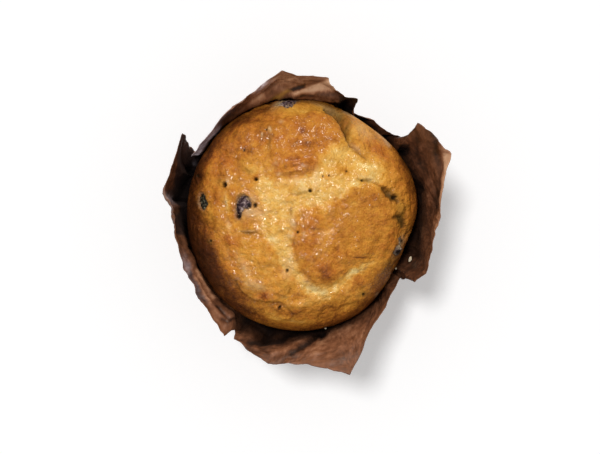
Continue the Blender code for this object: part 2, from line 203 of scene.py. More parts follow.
# The open crumb between the plates, paler and rougher
CRUMB = (
    (-15, 12.5), (-9, 11.4), (-2, 12.4), (3.6, 14.6), (5.8, 20), (9, 22.6), (15.4, 23.2), (20, 19),
    (24, 18), (28, 14), (27, 10.8), (22.5, 10.6), (16, 7.6), (12, 5.2), (7, 3), (0, 1.6), (-3, -1.6),
    (-3.6, -7), (-3.8, -12), (-2.4, -17.4), (0.2, -21.4), (4.5, -25), (9.5, -26), (14, -23), (17.5, -18.4),
    (24, -17.4), (20, -20.6), (15, -25), (9, -28.6), (2, -27.4), (-3, -23.4), (-6.8, -19.4), (-8.6, -14.5),
    (-12.4, -9.4), (-15.5, -4), (-14.5, 2), (-16.5, 7),
)
# The darker rim, partly browned crust and partly painted shade: azimuth, width, amount, and the shares of the
# radius where it starts and is full
# a negative amount lightens the rim, as painted light where the paper shades it
RIM = (
    (206, 22, 0.66, 0.7, 0.88), (174, 20, 0.42, 0.76, 0.96), (146, 20, 0.48, 0.86, 0.98),
    (236, 16, 0.36, 0.8, 0.95), (12, 22, 0.24, 0.86, 0.98), (28, 14, 0.1, 0.86, 0.96),
    (122, 14, 0.26, 0.86, 0.99), (130, 26, -0.22, 0.96, 0.99), (318, 22, 0.28, 0.78, 0.95),
    (278, 22, 0.28, 0.88, 0.98), (92, 30, 0.14, 0.78, 0.95),
)
# Torn edges that stand over the crumb: line (x, y) with the plate on its left, step, reach of the rise
LIPS = (
    (((-3, -9), (-2.4, -14), (-0.8, -18.6), (2.6, -22.4), (6.5, -24.5), (10.5, -24.3), (13.8, -21.8),
      (16.4, -18.6)), 0.55, 3.5),
    (((16.6, 22.2), (15.2, 24.6), (14.3, 27.4), (12.8, 30.4), (10.4, 33.2), (6.5, 35), (1.5, 35.6)),
      1.3, 5),
    (((-23.4, -20), (-22.6, -24.4), (-20.2, -28), (-16, -30.1), (-11, -30.7), (-7.5, -30.2), (-4.6, -28)),
      0.6, 4),
    (((-8, 12.8), (-4, 13.2), (0, 14), (3, 15.6)), 0.25, 2.5),
    (((32.4, -1.8), (31, 2), (28.2, 6.4), (24, 8.6), (20, 8.4)), 0.45, 3),
    (((-3.6, -22.8), (-6.6, -19.4), (-8.6, -15), (-11.2, -11), (-15, -8.8)), 0.35, 3),
)
# Cracks and creases: line (x, y), half width, depth, and how dark the painted shade in them is, if not as its
# depth gives
CRACKS = (
    (((8, 37), (11, 34.8), (13.4, 32), (15, 29), (16, 26.4), (17.4, 24)), 1.9, 1.7, 0.25),
    (((7.4, 36.2), (9.2, 35.4), (11.7, 33.5), (13.4, 31.4), (14.8, 28.6), (15.2, 25.6), (16.4, 23.4)),
      1.1, 2.4, 0.9),
    (((15.6, 25), (17, 22.9), (19.2, 20.8), (22, 18.6)), 0.75, 0.9, 0.4),
    (((18.6, 11.6), (20.4, 11.3), (22.6, 11.4), (24.4, 10.8), (27, 9.2), (28.8, 7.6)), 0.45, 0.8),
    (((27.4, 8.8), (30.2, 6.6), (32.9, 4.2)), 1.6, 1.9, 0.65),
    (((33, 5.4), (35.2, 4.2), (36.3, 1.6), (36.6, -1.4)), 0.5, 0.7),
    (((31.4, -1.3), (33.6, -1.2), (34.9, -2.6), (35.8, -4.8)), 1.6, 1.2, 0.55),
    (((-23, -23), (-21.8, -26.8), (-19.2, -29.6), (-14, -30.8), (-9, -30.8), (-6.6, -32), (-3, -34.6)),
      0.8, 0.9, 0.2),
    (((-12.2, 28.8), (-11.9, 25), (-11.6, 21.5), (-11, 18.6)), 0.9, 0.5, 0.06),
    (((-26.6, 4), (-26.6, 0), (-25, -4), (-23, -6.2)), 0.55, 0.4),
    (((-21.4, -6.4), (-19, -6.9), (-16, -6.7)), 0.6, 0.6, 0.15),
    (((-4.6, 6.6), (-1, 6.5), (2.2, 7.6)), 0.4, 0.5),
    (((-4.1, 2.4), (-4.4, -0.8)), 0.3, 0.9),
    (((-4.3, -25.6), (-5, -28.6)), 0.35, 0.6),
    (((13.6, -14.3), (17, -14.9), (21, -15.3), (24.6, -15.4)), 0.35, 0.3),
    (((-1.8, -6.2), (-3, -9.4), (-3.4, -12)), 0.4, 0.35),
    (((20, 34), (24.5, 29), (27.2, 25.6)), 0.45, 0.35),
)
# Small holes, painted dark inside as shade: x, y, radius, depth
HOLES = (
    (2.4, 7.8, 0.5, 1.9), (-27, 9.9, 0.7, 2), (-37, 13.4, 0.3, 0.3), (-16.2, 11.8, 0.52, 1.6),
    (15, 14.6, 0.28, 0.8), (-1.8, -6.4, 0.32, 1.1), (-5.5, -19.7, 0.42, 1.3), (-8.1, -32.3, 0.5, 1.2),
    (-31.8, -9.4, 0.34, 0.8), (20.9, -28, 0.38, 0.8), (20.2, 11.3, 0.3, 0.7), (-20, 21.4, 0.34, 0.6),
    (6.8, 12.8, 0.26, 0.6), (8.8, 13, 0.26, 0.5), (32.2, 5.7, 0.75, 1.2), (-18.4, 3, 0.46, 1.3),
    (-16.5, 2.8, 0.58, 1.5), (-22.3, -1, 0.5, 1.2), (35, -9.9, 0.7, 0.2), (-22.6, 1.2, 0.3, 0.6),
    (-12.3, 28.4, 0.3, 0.6),
)
# Swellings and dents: x, y, half length, half width, rise, turn if any
SWELLINGS = (
    (7.9, -19.8, 2, 2.9, 0.96), (-2, 10.6, 2.4, 1.6, 0.72, 20), (4.2, 10.4, 1.6, 2.2, 0.64),
    (-3.2, -3.2, 1.3, 2.4, 0.88, 10), (-7.4, -4.4, 2.4, 2.2, 0.56), (14.6, 5.7, 1.5, 1.2, 0.56),
    (-19.6, -18.4, 1.5, 3.6, 0.88, 20), (-15.5, -24.6, 3.6, 1.5, 0.8, -24), (9.5, 19, 4, 3, 0.64),
    (-24, 24, 4.5, 3, 0.8, 50), (-17.2, 21, 1.6, 1.9, 0.64), (-17, 27.5, 3, 2.4, 0.64),
    (0.5, -31, 4.2, 3, 0.8), (11, -31, 5, 3, 0.64, 15), (-30, 2, 1.4, 4.6, 0.64), (-28.6, -4, 2.4, 3, 0.64),
    (27, -19, 5, 3.5, 0.8, 40), (17.4, 27.6, 2, 4.4, 0.8, -35), (-11.6, 29.2, 0.7, 1.5, 0.88),
    (-13.8, 27, 0.6, 1.2, 0.64, -20), (-18.6, -5.2, 2.6, 1, 0.56), (-20, 13.8, 2.4, 0.9, -0.56, -25),
    (-16.5, 16.5, 1.6, 2.2, -0.48), (0, 28.3, 1.6, 1.4, -0.56), (-26.2, 10.6, 0.9, 1.2, 0.56),
    (-8.6, -9, 1.2, 0.8, 0.48), (2, 24, 4.5, 1.2, -0.4, 5), (-2, 19.3, 5, 0.6, 0.56, 10),
    (-1.6, 17, 5, 0.6, 0.64, 12), (-4, 14.4, 4.5, 0.7, 0.64, 10), (24, 13.6, 3, 2.4, 0.48),
    (-21, 1.6, 1.6, 2.2, 0.48), (-25, -19, 1.6, 6, 0.48, 18), (9, 37, 5, 0.9, 0.8, -20),
    (30.5, -9.4, 3, 2.6, 0.4),
)
# Blotches by what they change: x, y, half length, half width, amount, turn if any
BLOTCHES = {
    # brown: browner or paler patches; some sit on holes and dents and darken round them
    "brown": (
        (24, 5.6, 4.6, 2.2, 0.12), (-27, 20.5, 3.5, 4.5, 0.08, 30), (28.5, -20, 6, 4, 0.12, 45),
        (26.5, 22.4, 3.6, 1.8, 0.14, -40), (0, 28.4, 1.2, 1.5, 0.26), (-17.6, 21, 1.5, 1.9, 0.2),
        (-20, 21.5, 0.9, 0.9, 0.12), (-2.4, 18.4, 5.5, 0.6, 0.12, 10), (-3, 16, 5, 0.5, 0.1, 12),
        (2.5, 24, 4, 1, 0.16), (-13.2, -28.2, 1.7, 1.2, 0.42), (-15.4, -23.3, 1, 0.8, 0.3),
        (11.4, -12, 1.3, 1.3, 0.22), (18.5, -22.6, 2.6, 1.9, 0.16), (8, -31.8, 7, 1.5, 0.16, 8),
        (2.6, -34.6, 7, 2.4, 0.2), (-30, 5, 1.1, 4, 0.16), (-24, 4, 1, 4, 0.16),
        (-36.8, 13.3, 1.4, 1.3, 0.1), (-16.2, 11.8, 1.3, 0.9, 0.3), (-25, -8.5, 3, 1.4, 0.18),
        (-23.6, -16, 1.2, 7, 0.12, 15), (-8, -33.8, 6, 2, 0.2, -14), (14.6, 14.6, 0.8, 1.2, 0.3, 20),
        (7.8, -20.2, 2, 2.8, 0.2), (-1.5, 36, 8, 1.6, -0.2, -4), (5, 37.2, 5, 1.3, -0.14, -12),
        (-18, 29, 2.2, 3.2, -0.14), (-16.5, 24, 1.2, 2.4, -0.16), (-17, 15.4, 2.6, 2.4, -0.28),
        (-33, 16, 2, 2.4, -0.2), (-26.2, 4, 0.8, 3.4, -0.34), (6.4, -25.6, 4.8, 2.3, -0.24, 5),
        (-10, -2, 5, 4, 0.08), (14, 14.6, 6, 4, 0.19), (-17, 28, 6, 5, 0.2, 30),
        (21, 29.4, 4, 3, -0.14, -35), (19.6, -15.1, 2.6, 0.35, 0.25), (-25.6, -4.6, 1.1, 1.6, -0.2, 20),
        (6.6, 1.2, 2.2, 2.2, -0.16), (8.6, -6.4, 2.2, 2.6, -0.1), (19.5, -20, 6.5, 2.8, -0.07, 35),
        (17.5, -20.4, 2.2, 1.3, -0.2, 30), (16.5, 27, 1.6, 4.5, -0.16, -35), (22, 16.6, 4, 4, -0.12),
        (-7, -36, 5.5, 1.2, -0.26, -12), (-0.5, -37.5, 4, 1.2, -0.2), (0.5, -30.6, 4.4, 2.2, -0.2),
        (-11.5, -8.8, 1.4, 1, -0.2), (24.5, 10, 3, 3, -0.14),
    ),
    "olive": (
        (2, 38.6, 6, 1, 0.4, -6), (-18.6, 14.6, 2.2, 0.7, 0.45, -22), (-11.6, 24.4, 0.7, 3.6, 0.4, -4),
        (-6.4, 36.6, 4, 1.4, 0.35, 12), (13, 34.6, 3.6, 1.3, 0.75, -38), (15.4, 29.6, 1, 3.2, 0.7, -24),
        (30.4, 6.4, 2.6, 1.5, 0.8, -28), (34.6, 1, 1.6, 3.6, 0.55, 20), (33.6, -2.2, 2.2, 1.7, 0.85, -40),
        (35.8, -4.6, 1, 1.6, 0.7, 20), (-31.8, -9.4, 1.3, 1.2, 0.6), (20.6, -27.6, 1.8, 1.2, 0.6),
        (-28.8, 11.4, 1.3, 0.8, 0.55, -40), (-34.6, 3.8, 1.8, 3.6, 0.6), (-18.6, -6.8, 2.6, 0.8, 0.45),
        (30, -18, 4.6, 2.4, 0.3, 55), (-22.4, -25, 0.9, 3, 0.35, 22), (18, -19.6, 2.4, 1, 0.1, 30),
        (-4.2, 0.6, 0.8, 1.8, 0.35), (26.2, 26.6, 2.2, 0.6, 0.35, -50), (-1.2, 6.9, 3, 0.5, 0.4, 8),
        (3, 36.4, 7, 1.4, 0.3, -6), (9.4, 36.4, 5.5, 1.3, 0.45, -24), (21.5, 11.2, 2.8, 0.7, 0.5, -6),
    ),
    "red": (
        (2, -8, 4, 10, 0.4), (8, -19.8, 2.6, 3.4, 0.8), (-2, 17.4, 7, 1.8, 0.45, -6), (-3, 27, 6, 5, 0.25),
        (-27, 19, 5, 7, 0.3, -40), (27, 22, 4, 2, 0.5, -40), (-25, -9, 5, 3, 0.35),
        (-24, -17, 2.4, 8, 0.35, 15), (-13, -28, 3.5, 1.8, 0.6, -10), (30.5, -8, 3.2, 3.4, 0.35),
        (19, -23, 3, 2.6, 0.4), (-29.8, 4, 1.6, 5, 0.4), (0, 36.5, 9, 2.4, -0.5), (20, 14, 7, 6, -0.35),
        (-18, 17, 4, 4, -0.3), (26, -20, 7, 4, -0.3, 35), (20, -18, 6, 2, 0.1), (16, 26, 2, 6, -0.4, -35),
    ),
    # pale: paler crumb, and small painted highlights where raised crust glints
    "pale": (
        (-11.3, 28.9, 0.4, 0.6, 1), (-13.9, 26.8, 0.45, 0.4, 0.8, -20), (-7.4, 31.8, 0.9, 0.7, 0.5),
        (-2.2, 11.6, 1.7, 1.5, 0.5), (4.6, 12, 1.1, 3, 0.55), (0.4, 8.4, 1.6, 0.6, 0.6),
        (-3.4, -3, 0.9, 2, 0.7, 10), (-4.6, -7.6, 1.5, 0.6, 0.6), (0.2, -7, 0.7, 1.2, 0.5),
        (-18.2, 0.8, 2.8, 1.9, 0.5, 10), (-14.2, 0.4, 2.6, 1.6, 0.3), (-19.8, -18.6, 1.1, 3.2, 0.45, 20),
        (-16, -24.4, 3.6, 1.2, 0.4, -24), (-25.8, -3.6, 0.6, 1.7, 0.5, 15), (-18.6, -5.9, 2.4, 0.4, 0.5),
        (-26, 10.8, 0.8, 1.2, 0.45), (-26.6, 4, 0.5, 2.6, 0.45), (-10.4, -8.8, 0.9, 0.6, 0.6),
        (26, -28.4, 0.7, 1, 0.4, -30), (-8.2, 13.6, 1.2, 0.5, 0.5), (0.4, 16.2, 1, 0.6, 0.4),
        (-9.2, 17.2, 0.8, 0.6, 0.45), (-6, -20.6, 2, 1.4, 0.3, -40), (18, 22.8, 2.4, 0.8, 0.35, -38),
        (1.6, -23.4, 2.2, 0.8, 0.35, -40), (21.6, 12.6, 3.6, 0.8, 0.3, -14), (-4.6, -16.6, 1.7, 3.4, 0.4),
        (21, 29.4, 4, 2.6, 0.3, -35), (-19, 0.2, 2.2, 1.7, 0.15), (-17.4, 5.4, 1.8, 1.4, 0.4),
        (8.4, 37, 5, 0.8, 0.4, -20),
    ),
    "purple": (
        (-19, 3.8, 2.6, 1.7, 0.6, -10), (-21.6, 0.4, 1.1, 2.4, 0.5), (-34.6, 4.4, 1.4, 3, 0.25),
        (-8.2, 38.2, 3, 1.4, 0.9, 20), (34.4, -11.4, 1.5, 4.4, 0.75, -38), (2, 40.4, 4, 0.8, 0.5),
        (7.6, -19.6, 1.8, 2.6, 0.22),
    ),
}
# The pale line along the crown's edge, at the back right: partly pale crust, partly a painted highlight (x,
# y)
PALE_LINE = ((14.4, 36), (22, 32.6), (27.2, 28), (30, 24))
# Where the crust is smoother: x, y, half length, half width, amount, turn if any
CALM = ((20, -3, 10, 10, 0.75), (28, -20, 6, 5, 0.4, 40), (-30, -12, 4, 9, 0.4, 20))
# The crown's own edge, drawn in by the deep gap and let out where paper touches it: azimuth, width, depth
DRAWN_IN = ((346, 14, 1.3), (122, 24, -0.22))
# Loose crumbs: azimuth, distance from the axis, height, half sizes outwards, along the rim and upwards
CRUMBS = (
    (337.2, 41.3, 46.8, (0.42, 1, 0.5)), (329.5, 38.1, 50, (0.2, 0.3, 0.45)),
    (281.2, 41.2, 49.6, (0.28, 0.4, 0.4)),
)
# Where the crust glistens: x, y, half length, half width, amount, turn if any
GLEAMS = (
    (-3, 15, 9, 4, 0.45, 4), (0, 27, 10, 6, 0.4), (-12, 28, 4, 4, 0.5), (-27, 16, 8, 7, 0.5, 40),
    (-14, 4, 8, 9, 0.32), (-26, 4, 5, 7, 0.5), (-18, -21, 7, 5, 0.7, -40), (-24, -14, 3, 8, 0.4, 12),
    (-12, -6, 7, 6, 0.45), (2, -4, 6, 9, 0.5), (9, 1, 8, 5, 0.45), (8, 12, 9, 7, 0.35),
    (22, 14, 8, 7, 0.25), (4, -13, 6, 7, 0.35), (7.9, -20, 2.6, 3.4, -0.7), (6, -27, 12, 4, 0.3, 10),
    (-6, -35, 9, 4, 0.35, -10), (24, -28, 3, 3, 0.4),
)
# Openings in the crust through which the berries show: outline (x, y), depth and juice stain
OPENINGS = {
    "blueberry_west": (((-22.8, 3.6), (-21.8, 5.6), (-20.2, 6.2), (-18.9, 5), (-18, 3.4), (-18.6, 2.2),
        (-20, 1.9), (-21, 0.9), (-21.5, -0.6), (-22, -1.7), (-22.9, -1.4), (-23, 1)), 1.7, 1.1),
    "blueberry_far_west": (((-35.1, 7.2), (-34.1, 5.8), (-33.6, 3.8), (-33.8, 2.2), (-34.6, 1.6),
        (-35.3, 2.7), (-35.7, 4.6), (-35.6, 6.2)), 1.8, 0.5),
    "blueberry_north": (((-9.2, 38.4), (-7.6, 39.8), (-5.8, 41.2), (-1.4, 41.6), (-1.6, 39.8), (-3.4, 38.6),
        (-6.4, 37.6), (-8.6, 37.6)), 1.2, 1),
    "blueberry_east": (((33, -12.3), (34.1, -12.4), (34.2, -13.7), (33.4, -14.5), (32.4, -14.2),
        (32.2, -13.2)), 1.5, 0.9),
}
# Where the juice is paler or darker: x, y, half length, half width, amount, turn if any
JUICE = (
    (-19.9, 3.4, 0.8, 1.5, 0.14, 10), (-22.4, -0.9, 0.8, 1.3, -0.14), (-18.5, 3, 0.4, 0.6, -0.5),
    (-21.2, 1.4, 0.5, 0.8, 0.1), (-8.6, 38, 2, 1.3, 0.26, 10), (-3.6, 40.4, 2, 1.1, -0.08),
    (34.8, -10.6, 1.5, 3.6, 0.12, -35), (33.2, -13.3, 0.9, 0.9, -0.2), (7.8, -19.4, 3, 4, -0.05),
    (-17.4, 4.6, 1.6, 1.2, 0.1), (-19.4, 0.2, 1.6, 1.4, 0.1),
)


# ---- arithmetic on arrays of points


def smooth(value, low=0.0, high=1.0):
    """0 below low and 1 above high, with a soft step between them."""
    share = np.clip((value - low) / (high - low), 0.0, 1.0)
    return share * share * (3 - 2 * share)


def window(value, low, full, end, high):
    """1 from full to end, falling softly to 0 at low and at high."""
    return smooth(value, low, full) * (1 - smooth(value, end, high))


def hump(share):
    """1 at 0, falling on both sides to almost nothing at 2."""
    return np.exp(-(share**2))


def bell(azimuth, centre, width):
    return hump(((azimuth - centre + 180) % 360 - 180) / width)


def bells(azimuth, rows):
    """The sum of bells round the axis: azimuth, width, amount."""
    return sum(amount * bell(azimuth, centre, width) for centre, width, amount in rows)


def mix(first, second, share):
    return first + (second - first) * share


def polar(x, y):
    """Azimuth in degrees, and distance from the axis."""
    return np.degrees(np.arctan2(y, x)), np.hypot(x, y)


def ring(radius, azimuth, height):
    """Points from their distance from the axis, azimuth and height."""
    turn = np.radians(azimuth)
    return np.stack(np.broadcast_arrays(radius * np.cos(turn), radius * np.sin(turn), height), -1)


class Noise:
    """Gradient noise over points in three dimensions, about -1 to 1."""

    def __init__(self, seed):
        rng = np.random.default_rng(seed)
        self.order = rng.permutation(256)
        slopes = rng.normal(size=(256, 3))
        self.slopes = slopes / np.linalg.norm(slopes, axis=1, keepdims=True)
        self.offsets = rng.random((256, 3))

    def pick(self, cell):
        order = self.order
        return order[(order[(order[cell[:, 0] & 255] + cell[:, 1]) & 255] + cell[:, 2]) & 255]

    def one(self, points):
        cell = np.floor(points).astype(np.int64)
        part = points - cell
        fade = part**3 * (part * (part * 6 - 15) + 10)
        total = np.zeros(len(points))
        for corner in itertools.product((0, 1), repeat=3):
            corner = np.array(corner)
            slope = self.slopes[self.pick(cell + corner)]
            weight = np.prod(np.where(corner, fade, 1 - fade), axis=1)
            total += weight * np.sum(slope * (part - corner), axis=1)
        return total * 1.6

    def layered(self, points, size, octaves, shift, finer, shape):
        total, points = 0.0, points / size
        for octave in range(octaves):
            total = total + 0.5**octave * shape(self.one(points + shift * octave))
            points = points * finer
        return total

    def fbm(self, points, size, octaves=3):
        """Lumps of a size in mm, with finer ones on them."""
        return self.layered(points, size, octaves, 17.3, 2.03, lambda value: value)

    def ridges(self, points, size, octaves=3):
        """Sharp ridges about a size in mm apart, with finer ones on them."""
        return self.layered(points, size, octaves, 9.1, 2.1, lambda value: 1 - 2 * np.abs(value))

    def cells(self, points, size):
        """Distances to the nearest and the second nearest of scattered points."""
        points = points / size
        cell = np.floor(points).astype(np.int64)
        first = np.full(len(points), 9.0)
        second = first.copy()
        for corner in itertools.product((-1, 0, 1), repeat=3):
            other = cell + np.array(corner)
            away = np.linalg.norm(other + self.offsets[self.pick(other)] - points, axis=1)
            second = np.minimum(second, np.maximum(first, away))
            first = np.minimum(first, away)
        return first * size, second * size


def rounded(points, closed=False):
    """A smooth line through points (Catmull-Rom), or a loop."""
    points = np.array(points, float)
    before, after = (points[-1:], points[:2]) if closed else (points[:1], points[-1:])
    ends = np.vstack((before, points, after))
    t = np.arange(ROUNDING_STEPS)[:, None] / ROUNDING_STEPS
    line = []
    for a, b, c, d in zip(ends, ends[1:], ends[2:], ends[3:]):
        bend, twist = 2 * a - 5 * b + 4 * c - d, 3 * b - a - 3 * c + d
        line.append(0.5 * (2 * b + (c - a) * t + bend * t * t + twist * t**3))
    if not closed:
        line.append(points[-1:])
    return np.vstack(line)


def line_distance(line, x, y):
    """Distance from points to an open line, and how far along it the nearest place is (0 to 1)."""
    nearest = np.full(len(x), 1e9)
    along = np.zeros(len(x))
    for k, (a, b) in enumerate(zip(line, line[1:])):
        step = b - a
        share = np.clip(((x - a[0]) * step[0] + (y - a[1]) * step[1]) / (step @ step), 0, 1)
        away = np.hypot(x - a[0] - share * step[0], y - a[1] - share * step[1])
        closer = away < nearest
        nearest = np.where(closer, away, nearest)
        along = np.where(closer, (k + share) / (len(line) - 1), along)
    return nearest, along


def side_distance(line, x, y):
    """Distance to an open line, positive on its left, and how far along it."""
    away, along = line_distance(line, x, y)
    index = np.minimum((along * (len(line) - 1)).astype(int), len(line) - 2)
    start, step = line[index], line[index + 1] - line[index]
    left = step[:, 0] * (y - start[:, 1]) - step[:, 1] * (x - start[:, 0])
    return np.where(left > 0, away, -away), along


def inside_distance(outline, x, y):
    """Distance to a closed outline, positive inside it."""
    loop = np.vstack((outline, outline[:1]))
    away, _ = line_distance(loop, x, y)
    within = np.zeros(len(x), bool)
    for (ax, ay), (bx, by) in zip(loop, loop[1:]):
        crosses = (ay > y) != (by > y)
        reach = ax + (y - ay) * (bx - ax) / (by - ay if by != ay else 1e-9)
        within ^= crosses & (x < reach)
    return np.where(within, away, -away)


def ovals_at(x, y, ovals):
    """The sum of soft ovals: x, y, half length, half width, amount, turn if any."""
    total = np.zeros(len(x))
    for centre_x, centre_y, long, wide, amount, *turned in ovals:
        turn = math.radians(sum(turned))
        along = (x - centre_x) * math.cos(turn) + (y - centre_y) * math.sin(turn)
        across = (y - centre_y) * math.cos(turn) - (x - centre_x) * math.sin(turn)
        total += amount * np.exp(-((along / long) ** 2) - (across / wide) ** 2)
    return total


# ---- meshes from arrays


def add_mesh(name, points, faces, attributes):
    """An object from points in millimetres, with a float attribute for each name."""
    mesh = bpy.data.meshes.new(name)
    mesh.from_pydata((points * MM).tolist(), [], faces)
    for key, values in attributes.items():
        layer = mesh.attributes.new(key, "FLOAT", "POINT")
        layer.data.foreach_set("value", np.asarray(values, np.float32))
    mesh.shade_smooth()
    mesh.update()
    obj = bpy.data.objects.new(name, mesh)
    bpy.context.scene.collection.objects.link(obj)
    return obj


def normals_of(points, quads):
    """Vertex normals from an array of four-cornered faces."""
    a, b, c, d = (points[quads[:, k]] for k in range(4))
    face = np.cross(c - a, d - b)
    total = np.zeros_like(points)
    for k in range(4):
        np.add.at(total, quads[:, k], face)
    return total / np.maximum(np.linalg.norm(total, axis=1, keepdims=True), 1e-12)


def ring_quads(below, above):
    return np.stack((below, np.roll(below, -1), np.roll(above, -1), above), 1)


def fan(edge, middle):
    """Triangles from a ring's indices to a middle point."""
    return np.stack((np.roll(edge, -1), edge, np.full(len(edge), middle)), 1)


def unit_ball(subdivisions):
    bpy.ops.mesh.primitive_ico_sphere_add(subdivisions=subdivisions, radius=1.0)
    ball = bpy.context.object
    points = np.array([vertex.co[:] for vertex in ball.data.vertices])
    faces = np.array([face.vertices[:] for face in ball.data.polygons])
    bpy.data.objects.remove(ball, do_unlink=True)
    return points, faces


# ---- the muffin


def arch(share):
    """The dome's rise, from 1 at the axis to 0 at the crown's edge."""
    return (1 - share**DOME_POWER) ** (1 / DOME_POWER)


def round_radius(height):
    flare = (SHOULDER_RADIUS - FOOT_RADIUS) / SHOULDER
    up = np.clip((height - SHOULDER) / (CROWN - SHOULDER), 0, 1)
    lean = flare * (CROWN - SHOULDER) * up * (1 - up) ** 2
    low = FOOT_RADIUS + flare * height
    middle = mix(SHOULDER_RADIUS, CROWN_RADIUS, smooth(up)) + lean
    high = CROWN_RADIUS * arch(np.clip((height - CROWN) / (TOP - CROWN), 0, 1))
    return np.where(height <= SHOULDER, low, np.where(height <= CROWN, middle, high))


def muffin_radius(azimuth, height):
    return round_radius(height) * (1 + bells(azimuth, CROWN_SWELLS) * smooth(height, SHOULDER / 2, CROWN))


def crown_place(x, y):
    """Azimuth, and distance from the axis as a share of the crown's radius."""
    azimuth, distance = polar(x, y)
    return azimuth, distance / (CROWN_RADIUS * (1 + bells(azimuth, CROWN_SWELLS)))


def dome_height(share):
    return CROWN + (TOP - CROWN) * arch(np.clip(share, 0, 1))


def wrapped_square(cells):
    """A square grid bent into a round one: azimuth of its points, and distance from 0 to 1 at the edge."""
    side = np.linspace(-1, 1, cells + 1)
    u, v = (a.ravel() for a in np.meshgrid(side, side, indexing="ij"))
    wide = np.abs(u) > np.abs(v)
    reach, other = np.where(wide, u, v), np.where(wide, v, u)
    turn = math.pi / 4 * (other / np.where(reach == 0, 1e-9, reach))
    turn = np.where(wide, turn, math.pi / 2 - turn)
    azimuth, distance = polar(reach * np.cos(turn), reach * np.sin(turn))
    return azimuth, np.clip(distance, 0, 1)


def muffin_skin():
    """Points, quads and base triangles: a square grid wrapped on the dome, and rings below it."""
    azimuth, distance = wrapped_square(GRID_CELLS)
    # equal steps along the dome's own curve
    slide = np.linspace(0, math.pi / 2, 4000)
    share, rise = np.sin(slide) ** (2 / DOME_POWER), np.cos(slide) ** (2 / DOME_POWER)
    steps = np.hypot(np.diff(share * CROWN_RADIUS), np.diff(rise * (TOP - CROWN)))
    path = np.concatenate(([0], np.cumsum(steps)))
    share = np.interp(distance * path[-1], path, share)
    radius = share * CROWN_RADIUS * (1 + bells(azimuth, CROWN_SWELLS))
    points = [ring(radius, azimuth, dome_height(share))]
    side = GRID_CELLS + 1
    index = np.arange(side**2).reshape(side, side)
    quads = [np.stack((index[:-1, :-1], index[1:, :-1], index[1:, 1:], index[:-1, 1:]), -1).reshape(-1, 4)]
    edge = np.concatenate((index[:-1, 0], index[-1, :-1], index[:0:-1, -1], index[0, :0:-1]))
    azimuth = azimuth[edge]
    rings = [(muffin_radius(azimuth, height), height) for height in RING_HEIGHTS]
    for turn in np.radians(FOOT_TURNS):
        drawn, sunk = FOOT_ROUNDING * (1 - math.cos(turn)), FOOT_ROUNDING * math.sin(turn)
        rings.append((FOOT_RADIUS + FOOT_FLARE - drawn, FOOT + FOOT_ROUNDING - sunk))
    rings.append((BASE_RING, FOOT))
    count = index.size
    for radius, height in rings:
        below = np.arange(count, count + len(edge))
        points.append(ring(radius, azimuth, height))
        quads.append(ring_quads(below, edge))
        edge, count = below, count + len(edge)
    points.append(np.array([[0, 0, FOOT]]))
    return np.vstack(points), np.vstack(quads), fan(edge, count)


def dome_plates(points, noise, x, y):
    """Relief, browning and redness of the plates, with the crumb between them and how open it is."""
    relief = 0.7 * noise.fbm(points, 15.0, 2) + 0.75 * noise.fbm(points + 7, 5.5)
    brown = 0.46 + 0.08 * noise.fbm(points + 31, 8.0)
    red = 0.42 + 0.25 * noise.fbm(points + 47, 7.0)
    fray = 1.1 * noise.fbm(points + 53, 2.2)
    crumb = smooth(inside_distance(rounded(CRUMB, True), x, y) + fray, -1.4, 1.8)
    relief -= 0.35 * crumb
    brown = mix(brown, 0.19 + 0.08 * noise.fbm(points + 3, 2.6), crumb)
    red = mix(red, 0.18 + 0.2 * noise.fbm(points + 13, 5.0, 2), crumb)
    covered = np.zeros(len(x))
    for outline, rise, edge, tone, warmth in PLATES.values():
        inside = inside_distance(rounded(outline, True), x, y)
        relief += rise * smooth(inside, -edge * 0.4, edge)
        plate = smooth(inside + fray, -0.9, 1.1)
        brown = mix(brown, tone + 0.05 * noise.fbm(points + 61, 4.0, 4), plate)
        red = mix(red, warmth + 0.22 * noise.fbm(points + 67, 5.0), plate)
        covered = np.maximum(covered, plate)
    return relief, brown, red, crumb * (1 - covered)


def dome_breaks(points, noise, x, y):
    """Relief of the torn edges, cracks and holes; the painted shade in the cracks; and that in the cracks and
    holes together.
    """
    relief, crack, hollow_shade = (np.zeros(len(x)) for _ in range(3))
    wander = 0.22 * noise.fbm(points + 5, 1.6, 2)
    for line, step, reach in LIPS:
        side, along = side_distance(rounded(line), x + wander, y - wander)
        fade = window(along, 0, 0.16, 0.84, 1) * (0.75 + 0.5 * noise.one(points / 5 + reach))
        relief += fade * step * smooth(side, -0.5, 0.7) * np.exp(-np.maximum(side - 0.7, 0) / reach)
        relief -= fade * 0.2 * step * hump((side + 0.7) / 0.8)
    for line, half_width, depth, *tinted in CRACKS:
        away, along = line_distance(rounded(line), x + wander, y + wander)
        width = half_width * (0.4 + 0.6 * np.sin(np.pi * np.clip(along, 0.02, 0.98)))
        width = width * (1 + 0.35 * noise.one(points / 1.3 + depth))
        relief -= depth * hump(away / width) * width / half_width
        dark = tinted[0] if tinted else min(0.36 * depth, 0.58)
        crack = np.maximum(crack, dark * hump(away / (0.9 * width)))
    for centre_x, centre_y, radius, depth in HOLES:
        away = np.hypot(x - centre_x, y - centre_y) / radius * (1 + 0.3 * noise.one(points / 0.8 + centre_x))
        relief += 0.12 * hump((away - 1.9) / 0.6) - depth * hump(away)
        # painted shade: dark inside each hole
        hollow_shade = np.maximum(hollow_shade, 1 - smooth(away, 0.6, 1.7))
    return relief, crack, np.maximum(hollow_shade, 0.8 * crack)


